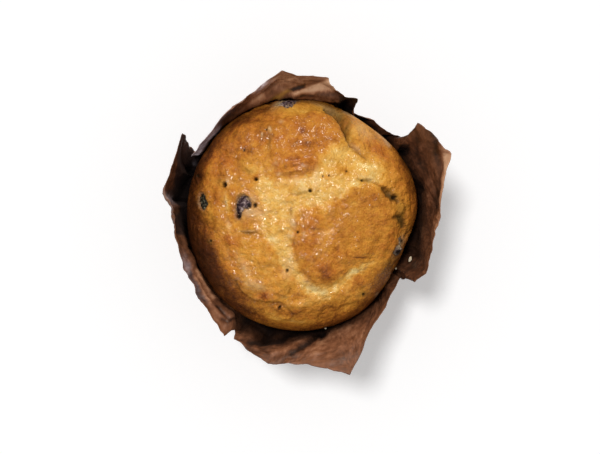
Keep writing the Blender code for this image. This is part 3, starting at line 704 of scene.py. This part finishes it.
def crust_grain(points, noise, crumb):
    """Fine relief: wrinkled plates, with pits and grains in the crumb between them."""
    near, second = noise.cells(points, 1.9)
    pits, _ = noise.cells(points + 300, 1.5)
    fine = 0.16 * noise.fbm(points + 11, 1.7) + 0.24 * noise.fbm(points + 71, 3.0, 2)
    fine += (0.10 - 0.05 * crumb) * (1 - smooth(near / second))
    fine -= (0.05 + 0.22 * crumb) * hump(pits / 0.30)
    return fine + crumb * 0.10 * noise.fbm(points + 81, 0.95, 2)


def rim_browning_and_shade(points, noise, share, azimuth):
    """How much darker each part of the rim is, from where it starts: partly browning, partly painted shade,
    and lightened as painted light where the paper shades it.
    """
    ragged = share + 0.02 * noise.fbm(points + 19, 6.0)
    total = 0.06 * smooth(ragged, 0.86, 1.0)
    for centre, width, amount, start, full in RIM:
        total += amount * bell(azimuth, centre, width) * smooth(ragged, start, full)
    return total


def build_muffin(noise):
    points, quads, base = muffin_skin()
    x, y, z = points.T
    azimuth, share = crown_place(x, y)
    on_top = smooth(z, CROWN - 1, CROWN + 3)
    wander_x, wander_y = (0.9 * noise.fbm(points + shift, 5.0) for shift in (50, 90))
    fray_x, fray_y = (0.35 * noise.fbm(points + shift, 1.5) for shift in (29, 37))
    relief, brown, red, crumb = dome_plates(points, noise, x + wander_x, y + wander_y)
    broken, crack, hollow_shade = dome_breaks(points, noise, x, y)
    calm = np.clip(ovals_at(x, y, CALM), 0, 1)
    relief = relief * (1 - calm) + broken + ovals_at(x, y, SWELLINGS)
    # painted shade: cracks browner, and holes and cracks more olive
    tones = {"brown": brown + 0.3 * crack, "red": red, "pale": 0, "olive": 0.4 * hollow_shade, "purple": 0}
    for kind, ovals in BLOTCHES.items():
        tones[kind] = tones[kind] + ovals_at(x + fray_x + 0.4 * wander_x, y + fray_y + 0.4 * wander_y, ovals)
    for outline, depth, juice in OPENINGS.values():
        inside = inside_distance(rounded(outline, True), x + 1.2 * fray_x, y + 1.2 * fray_y)
        relief += 0.2 * hump((inside + 1.1) / 0.8) - depth * smooth(inside, -1.0, 1.2)
        tones["purple"] = np.maximum(tones["purple"], juice * smooth(inside, -1.2, 0.4))
    fine = crust_grain(points, noise, crumb) * (1 - 0.7 * calm)
    relief += fine
    # the rim's browning and painted shade, and its painted light where the paper shades it
    tones["brown"] += rim_browning_and_shade(points, noise, share, azimuth) * smooth(z, 40, 47)
    tones["brown"] += 0.20 * fine + 0.03 * noise.fbm(points + 41, 1.2)
    # the pale line: partly pale crust, partly a painted highlight along the crown's edge
    away, _ = line_distance(rounded(PALE_LINE), x, y)
    gleam = np.maximum(0.12 + 0.25 * crumb + ovals_at(x, y, GLEAMS), 0)
    on_dome = {
        "pale": np.maximum(tones["pale"], 0.5 * hump(away / 0.8)), "olive": np.clip(tones["olive"], 0, 1),
        "purple": tones["purple"], "dark": hollow_shade,
        "gleam": gleam * (1 - smooth(share, 0.76, 0.92)) * (1 - np.clip(1.2 * hollow_shade, 0, 1)),
    }
    attributes = {kind: values * on_top for kind, values in on_dome.items()}
    attributes.update(brown=tones["brown"], red=tones["red"], juice=ovals_at(x, y, JUICE))
    # nothing swells past the crown's edge, and the side in the case is smoother
    relief = np.where(relief > 0, relief * (1 - smooth(share, 0.86, 0.97)), relief) * mix(0.25, 1.0, on_top)
    relief -= bells(azimuth, DRAWN_IN) * smooth(share, 0.72, 0.96) * smooth(z, 22, 42)
    points = points + normals_of(points, quads) * relief[:, None]
    points[:, 2] = np.maximum(points[:, 2], FOOT)
    return add_mesh("muffin_crust", points, quads.tolist() + base.tolist(), attributes)


# ---- the paper case


def wall_azimuths(azimuths):
    """Where the folds meet the wall, pushed apart until no two are closer than LEAST_FOLD_ANGLE."""
    angles = list(azimuths)
    for _ in range(200):
        for k in range(len(angles)):
            after = (k + 1) % len(angles)
            lap = 360 if after == 0 else 0
            short = LEAST_FOLD_ANGLE - (angles[after] + lap - angles[k])
            if short > 0:
                angles[k] -= short / 2
                angles[after] += short / 2
    return np.array(angles + [angles[0] + 360])


def sheet_columns():
    """For each column round the sheet: its place in FOLD_ENDS, edge point, azimuth at the wall and pleat."""
    azimuths, radii, heights = np.transpose(FOLD_ENDS)
    edge = ring(radii, azimuths, heights)
    edge = np.vstack((edge, edge[:1]))
    walls = wall_azimuths(azimuths)
    folds = np.arange(len(edge))
    pleat = folds % 2
    lean = walls[:-1] + pleat[:-1] * PLEAT_LEAN * np.diff(walls)
    lean = np.append(lean, lean[0] + 360)
    place = []
    for k, (step, turn) in enumerate(zip(np.diff(edge, axis=0), np.diff(lean))):
        length = max(np.linalg.norm(step), math.radians(turn) * SHEET_RADIUS)
        steps = max(round(length / COLUMN_SPACING), 2)
        place.append(k + np.arange(steps) / steps)
    place = np.concatenate(place)
    ends = np.stack([np.interp(place, folds, edge[:, axis]) for axis in range(3)], 1)
    return place, ends, np.interp(place, folds, lean), np.interp(place, folds, pleat)


def clear_share(points, gap):
    """What to multiply distances from the axis by, so that points lie just a gap off the muffin."""
    azimuth, radius = polar(points[..., 0], points[..., 1])
    return (muffin_radius(azimuth, np.clip(points[..., 2], FOOT, TOP)) + gap) / radius


def wall_points(azimuth, height, pleat):
    lift = max((height - STAND_OFF_FOOT) / (CROWN - STAND_OFF_FOOT), 0.0)
    radius = muffin_radius(azimuth, height) + PAPER_CLEARANCE + bells(azimuth, STAND_OFFS) * lift
    return ring(radius + pleat * PLEAT_DEPTH * (1 + 2 * height / SHOULDER) / 3, azimuth, height)


def petal_points(ends, azimuth, pleat, share):
    """A row of points a share of the way up the petals, which leave the wall and bend to their ends."""
    top, lean = (wall_points(azimuth, height, pleat) for height in (WALL_TOP, CROWN))
    reach = np.minimum(0.5 * (ends[:, 2] - WALL_TOP) / (CROWN - WALL_TOP), 1.0)[:, None]
    raised = np.minimum(bells(azimuth, CURLS), 1.0) * np.maximum(ends[:, 2] - CROWN, 0)
    bend = top + (lean - top) * reach + ring(CURL_LEAN, azimuth, 1.0) * raised[:, None]
    points = top * (1 - share) ** 2 + bend * 2 * share * (1 - share) + ends * share**2
    points[:, :2] *= np.maximum(clear_share(points, PAPER_CLEARANCE), 1.0)[:, None]
    return points


def sheet_rows(ends, azimuth, pleat):
    """Rows of points from the middle of the base to the sheet's edge, and how far up the sheet each is."""
    rows, up = [], []
    level = np.ones(len(azimuth))
    for radius in (4.0, 12.0, 19.0, BASE_RADIUS - BASE_FOLD, BASE_RADIUS):
        rows.append(ring(radius, azimuth, BASE_LEVEL))
        up.append(level * (radius - BASE_RADIUS) * 0.9)
    for height in np.linspace(1.6, WALL_TOP, WALL_ROWS):
        rows.append(wall_points(azimuth, height, pleat))
        up.append(level * height)
    for share in np.linspace(0, 1, PETAL_ROWS + 1)[1:]:
        rows.append(petal_points(ends, azimuth, pleat, share))
        up.append(mix(WALL_TOP, ends[:, 2], share))
    return np.array(rows), np.array(up)


def random_creases(along, up):
    """Straight creases all over the sheet, in mm outwards."""
    relief = np.zeros(len(up))
    rng = np.random.default_rng(CREASE_SEED)
    girth = 2 * math.pi * SHEET_RADIUS
    for _ in range(CREASES):
        centre, middle = rng.uniform(0, girth), rng.uniform(6, 72)
        slope = rng.normal(0, 0.22) if rng.random() < 0.6 else rng.normal(0, 1.4)
        length, reach = rng.uniform(8, 26), rng.uniform(0.9, 3.2)
        height = rng.uniform(-0.25, 0.30) * (0.6 + 0.9 * (middle > 42))
        off = (along - centre + girth / 2) % girth - girth / 2
        rise = up - middle
        scale = math.hypot(1, slope)
        away = np.abs(off - slope * rise) / scale
        run = np.abs(rise + slope * off) / scale
        relief += height * np.maximum(1 - away / reach, 0) * smooth(1 - run / length, 0, 0.5)
    return relief


def paper_marks(points, up, edge, place, noise):
    """Relief towards the muffin, and the petals' own marks: tone (mostly painted light and shade), sheen
    (painted sheen), batter, and the painted shade inside the left petal.
    """
    x, y, _ = points.T
    azimuth = polar(x, y)[0] % 360
    petal = smooth(up, 40, 46)
    wander = 0.4 * noise.fbm(points + 6, 4.0)
    marks = {kind: petal * ovals_at(x + wander, y + wander, ovals) for kind, ovals in PAPER_MARKS.items()}
    relief = np.zeros(len(x))
    for line, half_width, rise, tone in PAPER_CREASES:
        away, along = line_distance(rounded(line), x + wander, y + wander)
        fade = window(along, 0, 0.12, 0.88, 1) * petal
        relief += fade * rise * np.maximum(1 - away / half_width, 0)
        # lighter or darker along each crease: partly its own wear, partly painted light and shade of the fold
        marks["tone"] += fade * tone * hump(away / (0.6 * half_width))
    # the facets' painted light and shade
    for outline, tone in PAPER_FACETS:
        marks["tone"] += petal * tone * smooth(inside_distance(outline, x + 0.5 * wander, y), -0.3, 0.5)
    # painted sheen: a pale strip inside the back petal's left end, where the glazed paper catches the light
    painted_lighting = petal * window(place, 17.2, 17.9, 19.5, 19.9) * (1 - smooth(edge + wander, 2.4, 3.4))
    marks["sheen"] += 0.95 * painted_lighting
    # painted shade: near black inside the left petal, beyond a distance from its edge
    start = np.interp(azimuth, *np.transpose(INNER_SHADE_STARTS))
    inner_shade = smooth(edge + 0.4 * wander, start, start + 0.7) * window(azimuth, 138, 144, 188, 197)
    marks["inner_shade"] = inner_shade * (1 - np.clip(1.3 * marks["sheen"], 0, 1))
    return relief, marks


def add_shell(name, points, normal, index, quads, layers):
    """A closed sheet on both sides of a net of points, with the base's middle filled in.

    Each layer gives an attribute its values outside, inside and at the base's middle.
    """
    half = normal * PAPER_THICKNESS / 2
    middles = [(0, 0, BASE_LEVEL - PAPER_THICKNESS / 2), (0, 0, BASE_LEVEL + PAPER_THICKNESS / 2)]
    count, base, rim = len(points), index[0], index[-1]
    edge = ring_quads(rim, rim + count)
    caps = np.vstack((fan(base, 2 * count), fan(base + count, 2 * count + 1)[:, ::-1]))
    faces = np.vstack((quads, quads[:, ::-1] + count, edge)).tolist() + caps.tolist()
    attributes = {kind: np.concatenate((*both, (last, last))) for kind, (*both, last) in layers.items()}
    return add_mesh(name, np.vstack((points + half, points - half, middles)), faces, attributes)


def build_case(noise):
    place, ends, azimuth, pleat = sheet_columns()
    ends = ends + 0.25 * noise.fbm(ends, 3.0)[:, None] * np.array((1, 1, 0.5))
    rows, up = sheet_rows(ends, azimuth, pleat)
    snug = sum(window(place, *limits) for limits in SNUG)
    pull = snug * window(up, 32, 46, 50, 58)
    rows[..., :2] *= mix(1.0, np.minimum(clear_share(rows, SNUG_GAP), 1.0), pull)[..., None]
    edge = np.hypot(*(rows[..., axis] - rows[-1, :, axis] for axis in (0, 1))).ravel()
    index = np.arange(up.size).reshape(up.shape)
    points, up = rows.reshape(-1, 3), up.ravel()
    quads = np.vstack([ring_quads(below, above) for below, above in zip(index, index[1:])])
    normal = normals_of(points, quads)
    place, azimuth, snug = (np.tile(values, len(rows)) for values in (place, azimuth, snug))
    sheet = ring(SHEET_RADIUS, azimuth, up)
    relief = 0.12 * noise.fbm(sheet, 9.0, 2) + random_creases(np.radians(azimuth) * SHEET_RADIUS, up)
    relief += 0.8 * (1 - (place + 1) % 2 / 2) * window(up, 3, 20, 46, 58)
    relief += 0.16 * noise.ridges(sheet * np.array((1, 1, 0.5)) + 40, 4.5) - 0.1
    loose = 0.55 * noise.ridges(sheet + 77, 13.0) - 0.4 + 0.18 * noise.ridges(sheet + 99, 5.0, 2)
    relief += smooth(up, 44, 62) * loose
    inward, marks = paper_marks(points, up, edge, place, noise)
    relief = np.where((up < 48) & (relief < -0.1), -0.1, relief * smooth(up, 2, 14)) - inward
    points = points + normal * relief[:, None]
    points[:, :2] *= np.where(up > 2, np.maximum(clear_share(points, SNUG_GAP), 1.0), 1.0)[:, None]
    # how open each place inside is to the light; where it is not, the colour is darkened as painted shade
    light = mix(smooth(up, 40, 58), smooth(up, 32, 46), np.maximum(bell(azimuth, 318, 20), snug))
    light = np.maximum(light, np.clip(marks["sheen"], 0, 1))
    light = light * (1 - 0.5 * bell(azimuth, 255, 22) * smooth(edge, 9, 14))
    tone = 0.16 * noise.fbm(sheet + 15, 14.0)
    plain = np.zeros(len(points))
    layers = {
        # inside, the petals' painted light, and the marks' tone, mostly painted light and shade
        "tone": (tone, tone + bells(azimuth, LIT_PETALS) - 0.06 + marks["tone"], 0),
        "open": (plain + 1, light, 1), "crease": (relief, -relief, 0),
    }
    for kind in ("sheen", "batter", "inner_shade"):
        layers[kind] = (plain, marks[kind], 0)
    for kind, values in zip(("sheet_x", "sheet_y", "sheet_z"), sheet.T):
        layers[kind] = (values, values, 0)
    return add_shell("tulip_paper", points, normal, index, quads, layers)


# ---- berries and loose crumbs


def berry_frame(azimuth, distance, sunk):
    """A berry's middle, and its own axes as columns, the last one out of the dome."""
    x, y, _ = ring(distance, azimuth, 0.0)
    step = 0.5
    near_x, near_y = x + step * np.array((0, 1, -1, 0, 0)), y + step * np.array((0, 0, 0, 1, -1))
    here, east, west, north, south = dome_height(crown_place(near_x, near_y)[1])
    normal = np.array((west - east, south - north, 2 * step))
    normal /= np.linalg.norm(normal)
    side = np.cross((0, 1, 0), normal)
    side /= np.linalg.norm(side)
    return np.array((x, y, here)) - normal * sunk, np.stack((side, np.cross(normal, side), normal), 1)


def build_berry(name, noise):
    azimuth, distance, sunk, sizes, depth = BERRIES[name]
    centre, axes = berry_frame(azimuth, distance, sunk)
    unit, faces = unit_ball(6)
    body = unit * np.array(sizes)
    wrinkle = 0.30 * noise.ridges(body + distance, 2.6) + 0.25 * noise.fbm(body + distance + 4, 3.0, 2)
    body = body + unit * np.minimum(wrinkle - 0.35, 0.35)[:, None]
    points = centre + body @ axes.T
    inside = inside_distance(rounded(OPENINGS[name][0], True), points[:, 0], points[:, 1])
    inside += 0.8 * noise.fbm(points, 1.2)
    hidden = smooth(unit[:, 2], 0.0, 0.4) * (1 - smooth(inside, -0.9, 0.1))
    points = points - axes[:, 2] * (BERRY_HIDING * hidden)[:, None]
    return add_mesh(f"{name}_skin", points, faces.tolist(), {
        "open": smooth(inside, -0.7, 0.6), "deep": np.full(len(points), depth),
        "juice": ovals_at(points[:, 0], points[:, 1], JUICE),
    })


def build_crumbs(noise):
    """Loose crumbs lodged against the crown's side, joined in one mesh."""
    unit, ball = unit_ball(4)
    points, faces = [], []
    for azimuth, distance, height, sizes in CRUMBS:
        lumpy = 1 + 0.35 * noise.fbm(unit * 1.3 + azimuth, 1.0)[:, None]
        out, along, up = (unit * lumpy * np.array(sizes)).T
        turned, radius = polar(out + distance, along)
        faces.append(ball + len(points) * len(unit))
        points.append(ring(radius, turned + azimuth, up + height))
    return add_mesh("loose_crumbs", np.vstack(points), np.vstack(faces).tolist(), {})


# ---- materials


def shade(red, green, blue):
    """An albedo that looks like a screen colour under this light."""
    linear = []
    for channel in (red, green, blue):
        c = channel / 255
        linear.append((c / 12.92 if c <= 0.04045 else ((c + 0.055) / 1.055) ** 2.4) / LIGHT_GAIN)
    return (*linear, 1.0)


class Tree:
    """Short names for adding nodes to a material or a world."""

    def __init__(self, owner, unit=MM, place="Object"):
        owner.use_nodes = True
        self.owner = owner
        self.nodes, self.links = owner.node_tree.nodes, owner.node_tree.links
        self.unit = unit  # how many units of the texture's space make a millimetre
        self.place = self.node("TexCoord", place)

    def put(self, value, socket):
        """Set a socket to a number, colour or vector, or join another socket to it."""
        if isinstance(value, (int, float, tuple)):
            socket.default_value = value
        else:
            self.links.new(value, socket)

    def node(self, kind, output, inputs=(), **settings):
        """An output of a new node, with its inputs filled."""
        node = self.nodes.new("ShaderNode" + kind)
        for name, value in settings.items():
            setattr(node, name, value)
        for name, value in dict(inputs).items():
            self.put(value, node.inputs[name])
        return node.outputs[output]

    def finish(self, inputs):
        """The material, with its shader's own sockets filled."""
        for name, value in inputs.items():
            self.put(value, self.nodes["Principled BSDF"].inputs[name])
        return self.owner

    def attribute(self, name):
        return self.node("Attribute", "Fac", attribute_name=name)

    def noise(self, size, detail=3.0, roughness=0.55, stretch=(1.0, 1.0, 1.0)):
        place = self.node("Mapping", "Vector", {"Vector": self.place, "Scale": stretch})
        scale = 1 / (size * self.unit)
        inputs = {"Vector": place, "Scale": scale, "Detail": detail, "Roughness": roughness}
        return self.node("TexNoise", "Fac", inputs)

    def math(self, operation, first, second, clamp=False):
        return self.node("Math", 0, {0: first, 1: second}, operation=operation, use_clamp=clamp)

    def total(self, *values):
        return functools.reduce(lambda first, second: self.math("ADD", first, second), values)

    def mottle(self, amount, size, detail=3.0, roughness=0.6, **stretch):
        """Noise about nothing, up to half the amount either way."""
        centred = self.math("SUBTRACT", self.noise(size, detail, roughness, **stretch), 0.5)
        return self.math("MULTIPLY", centred, amount)

    def spread(self, value, low, high, new_low, new_high):
        limits = {"From Min": low, "From Max": high, "To Min": new_low, "To Max": new_high}
        return self.node("MapRange", "Result", {"Value": value, **limits})

    def ramp(self, value, *stops):
        """A colour for each place on a scale: position, then the screen's red, green and blue."""
        node = self.nodes.new("ShaderNodeValToRGB")
        elements = node.color_ramp.elements
        while len(elements) < len(stops):
            elements.new(0.5)
        for element, (position, *colour) in zip(elements, stops):
            element.position = position
            element.color = shade(*colour)
        self.put(value, node.inputs["Fac"])
        return node.outputs["Color"]

    def blend(self, first, second, share):
        return self.node("Mix", 2, {0: share, 6: first, 7: second}, data_type="RGBA")

    def tinted(self, colour, name, strength, tint):
        """A colour covered by a tint as far as an attribute says, up to a strength."""
        return self.blend(colour, tint, self.math("MULTIPLY", self.attribute(name), strength, clamp=True))

    def bump(self, height, depth, before=None):
        inputs = {"Height": height, "Distance": depth * MM}
        if before is not None:
            inputs["Normal"] = before
        return self.node("Bump", "Normal", inputs)


def new_tree(name, unit=MM):
    return Tree(bpy.data.materials.new(name), unit)


def juice_stain(t):
    """Crust soaked by a berry, from black through purplish grey to pale crumb."""
    return t.ramp(
        t.total(t.noise(0.8, 4.0, 0.6), t.attribute("juice")),
        (0.32, 40, 27, 25), (0.44, 88, 66, 60), (0.56, 148, 126, 106), (0.72, 206, 180, 132),
    )


def crust_material():
    t = new_tree("baked_crust")
    fine, fleck, patch = t.mottle(0.34, 0.55, 1.0, 0.5), t.mottle(0.30, 1.3, 2.5), t.mottle(0.36, 3.0)
    level = t.math("MULTIPLY", t.total(t.attribute("brown"), fine, fleck, patch), 1 / RAMP_LENGTH, clamp=True)
    gold, orange = (t.ramp(level, *((row[0], *row[k]) for row in BROWNING)) for k in (1, 2))
    colour = t.blend(gold, orange, t.math("ADD", t.attribute("red"), t.mottle(1.1, 2.1), clamp=True))
    # pale crumb, and painted highlights where the crust glints
    colour = t.tinted(colour, "pale", 0.75, shade(224, 194, 150))
    # olive: crust greened by juice, and painted shade in holes and cracks
    colour = t.tinted(colour, "olive", 0.7, shade(92, 78, 34))
    colour = t.tinted(colour, "purple", 0.85, juice_stain(t))
    # painted shade: near black in holes and cracks
    colour = t.tinted(colour, "dark", 0.95, shade(30, 18, 9))
    grain = t.bump(t.noise(0.55, 1.0, 0.5), 0.24)
    cells = t.node("TexVoronoi", "Distance", {"Vector": t.place, "Scale": 1 / (0.8 * MM)})
    wet = t.spread(t.noise(2.4, 3.0, 0.6), 0.44, 0.60, 0.0, 2.2)
    return t.finish({
        "Base Color": colour,
        "Roughness": t.spread(t.noise(1.8), 0.3, 0.7, 0.42, 0.62),
        "Normal": t.bump(t.noise(1.3, 4.0, 0.65), 0.44, t.bump(cells, 0.12, grain)),
        "Specular IOR Level": 0.08,
        "Coat Weight": t.math("MULTIPLY", t.attribute("gleam"), wet, clamp=True),
        "Coat Roughness": 0.12,
        "Coat Normal": t.bump(t.noise(1.15, 1.0, 0.5), 0.50),
    })


def paper_material():
    t = new_tree("brown_greaseproof", 1.0)
    sheet = {axis: t.attribute(name) for axis, name in enumerate(("sheet_x", "sheet_y", "sheet_z"))}
    t.place = t.node("CombineXYZ", "Vector", sheet)
    fibre, cloud, speckle = t.mottle(0.55, 0.9, stretch=FIBRES), t.mottle(0.45, 6.0), t.mottle(0.6, 1.5)
    # painted light and shade: lighter where the sheet stands out towards the side seen, darker where it sinks
    painted_lighting = t.math("MULTIPLY", t.attribute("crease"), 0.10)
    level = t.total(t.attribute("tone"), fibre, cloud, speckle, painted_lighting, 0.5)
    colour = t.ramp(
        t.math("MULTIPLY", level, 1 / RAMP_LENGTH, clamp=True),
        (0.0, 44, 26, 17), (0.25, 94, 57, 36), (0.44, 130, 83, 55), (0.71, 178, 128, 94),
        (1.0, 214, 170, 134),
    )
    # painted sheen: pale lavender grey where the glazed paper catches the light
    silver = t.ramp(t.noise(1.4, 3.0, 0.6, FIBRES), (0.38, 176, 160, 168), (0.6, 252, 240, 248))
    colour = t.tinted(colour, "sheen", 0.95, silver)
    colour = t.tinted(colour, "batter", 0.9, shade(176, 126, 48))
    # painted shade: the inside of the case darkens as far as it is closed to the light
    colour = t.blend(shade(20, 11, 8), colour, t.attribute("open"))
    # painted shade: near black inside the left petal
    colour = t.tinted(colour, "inner_shade", 0.85, shade(46, 38, 38))
    crinkle = t.bump(t.noise(1.6, 4.0, 0.65, (1.0, 1.0, 0.5)), 0.28)
    return t.finish({
        "Base Color": colour,
        "Roughness": t.spread(t.noise(3.0), 0.3, 0.7, 0.38, 0.62),
        "Normal": t.bump(t.noise(0.5, 2.0, 0.6), 0.05, crinkle),
        "Specular IOR Level": 0.4,
    })


def crumb_material():
    t = new_tree("pale_crumb")
    return t.finish({
        "Base Color": t.ramp(t.noise(0.5), (0.35, 222, 200, 160), (0.65, 250, 242, 222)),
        "Roughness": 0.7,
        "Normal": t.bump(t.noise(0.3), 0.12),
    })


def berry_material():
    t = new_tree("baked_blueberry")
    skin = t.ramp(
        t.total(t.noise(0.9, 4.0, 0.65), t.attribute("juice")),
        (0.38, 18, 11, 13), (0.49, 56, 39, 44), (0.59, 104, 84, 88), (0.72, 172, 154, 148),
    )
    deep = t.ramp(t.noise(0.7, 3.0, 0.6), (0.42, 15, 12, 8), (0.55, 46, 42, 28), (0.70, 130, 124, 102))
    colour = t.blend(juice_stain(t), skin, t.attribute("open"))
    return t.finish({
        "Base Color": t.blend(colour, deep, t.attribute("deep")),
        "Roughness": t.spread(t.noise(1.0), 0.3, 0.7, 0.26, 0.5),
        "Normal": t.bump(t.noise(0.7, 4.0, 0.6), 0.22),
        "Specular IOR Level": 0.1,
    })


def floor_material():
    return new_tree("pale_floor").finish({
        "Base Color": (0.9, 0.9, 0.9, 1.0), "Roughness": 0.9, "Specular IOR Level": 0.0,
        "Emission Color": WHITE, "Emission Strength": FLOOR_GLOW,
    })


# ---- stage


def add_light(name, azimuth, elevation, spread, share, colour=WHITE[:3]):
    """A distant light as wide as spread, giving level ground a share of full white."""
    light = bpy.data.lights.new(name, "SUN")
    light.angle = math.radians(spread)
    light.energy = share * math.pi / math.sin(math.radians(elevation))
    light.color = colour
    seat = bpy.data.objects.new(name, light)
    seat.rotation_euler = (math.radians(90 - elevation), 0, math.radians(azimuth + 90))
    bpy.context.scene.collection.objects.link(seat)
    return seat


def build_world():
    """Even light, with a pale ground for the camera."""
    world = bpy.data.worlds.new("studio")
    t = Tree(world, place="Generated")
    height = t.node("SeparateXYZ", "Z", {0: t.place})
    fill = t.node("Background", 0, {"Color": WHITE, "Strength": t.spread(height, 0, 1, SKY_LOW, SKY_HIGH)})
    seen = t.node("Background", 0, {"Color": WHITE})
    mixed = t.node("MixShader", 0, {0: t.node("LightPath", "Is Camera Ray"), 1: fill, 2: seen})
    t.put(mixed, t.nodes["World Output"].inputs["Surface"])
    bpy.context.scene.world = world


def build_stage(pieces):
    bpy.ops.mesh.primitive_plane_add(size=FLOOR_WIDTH * MM, location=(0, 0, 0))
    floor = bpy.context.object
    floor.name = "pale_floor"
    floor.data.materials.append(floor_material())
    build_world()
    add_light(*KEY)
    lit = bpy.data.collections.new("lit_from_behind")
    for piece in pieces:
        lit.objects.link(piece)
    for light in RIM_LIGHTS:
        add_light(*light, WARM).light_linking.receiver_collection = lit
    camera = bpy.data.cameras.new("camera")
    camera.lens, camera.sensor_width = LENS, FILM_WIDTH
    seat = bpy.data.objects.new("camera", camera)
    seat.location = [value * MM for value in CAMERA_PLACE]
    bpy.context.scene.collection.objects.link(seat)
    bpy.context.scene.camera = seat
    bpy.context.scene.view_settings.view_transform = "Standard"


def dress(obj, material, node=None):
    obj.data.materials.clear()
    obj.data.materials.append(material)
    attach(obj, "root")
    if node:
        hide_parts(node)
    return obj


def main():
    noise = Noise(CRUST_SEED)
    pieces = [dress(build_muffin(noise), crust_material(), "muffin")]
    skin = berry_material()
    for name in BERRIES:
        pieces.append(dress(build_berry(name, noise), skin, name))
    pieces.append(dress(build_crumbs(noise), crumb_material()))
    pieces.append(dress(build_case(Noise(PAPER_SEED)), paper_material(), "paper_case"))
    build_stage(pieces)


main()
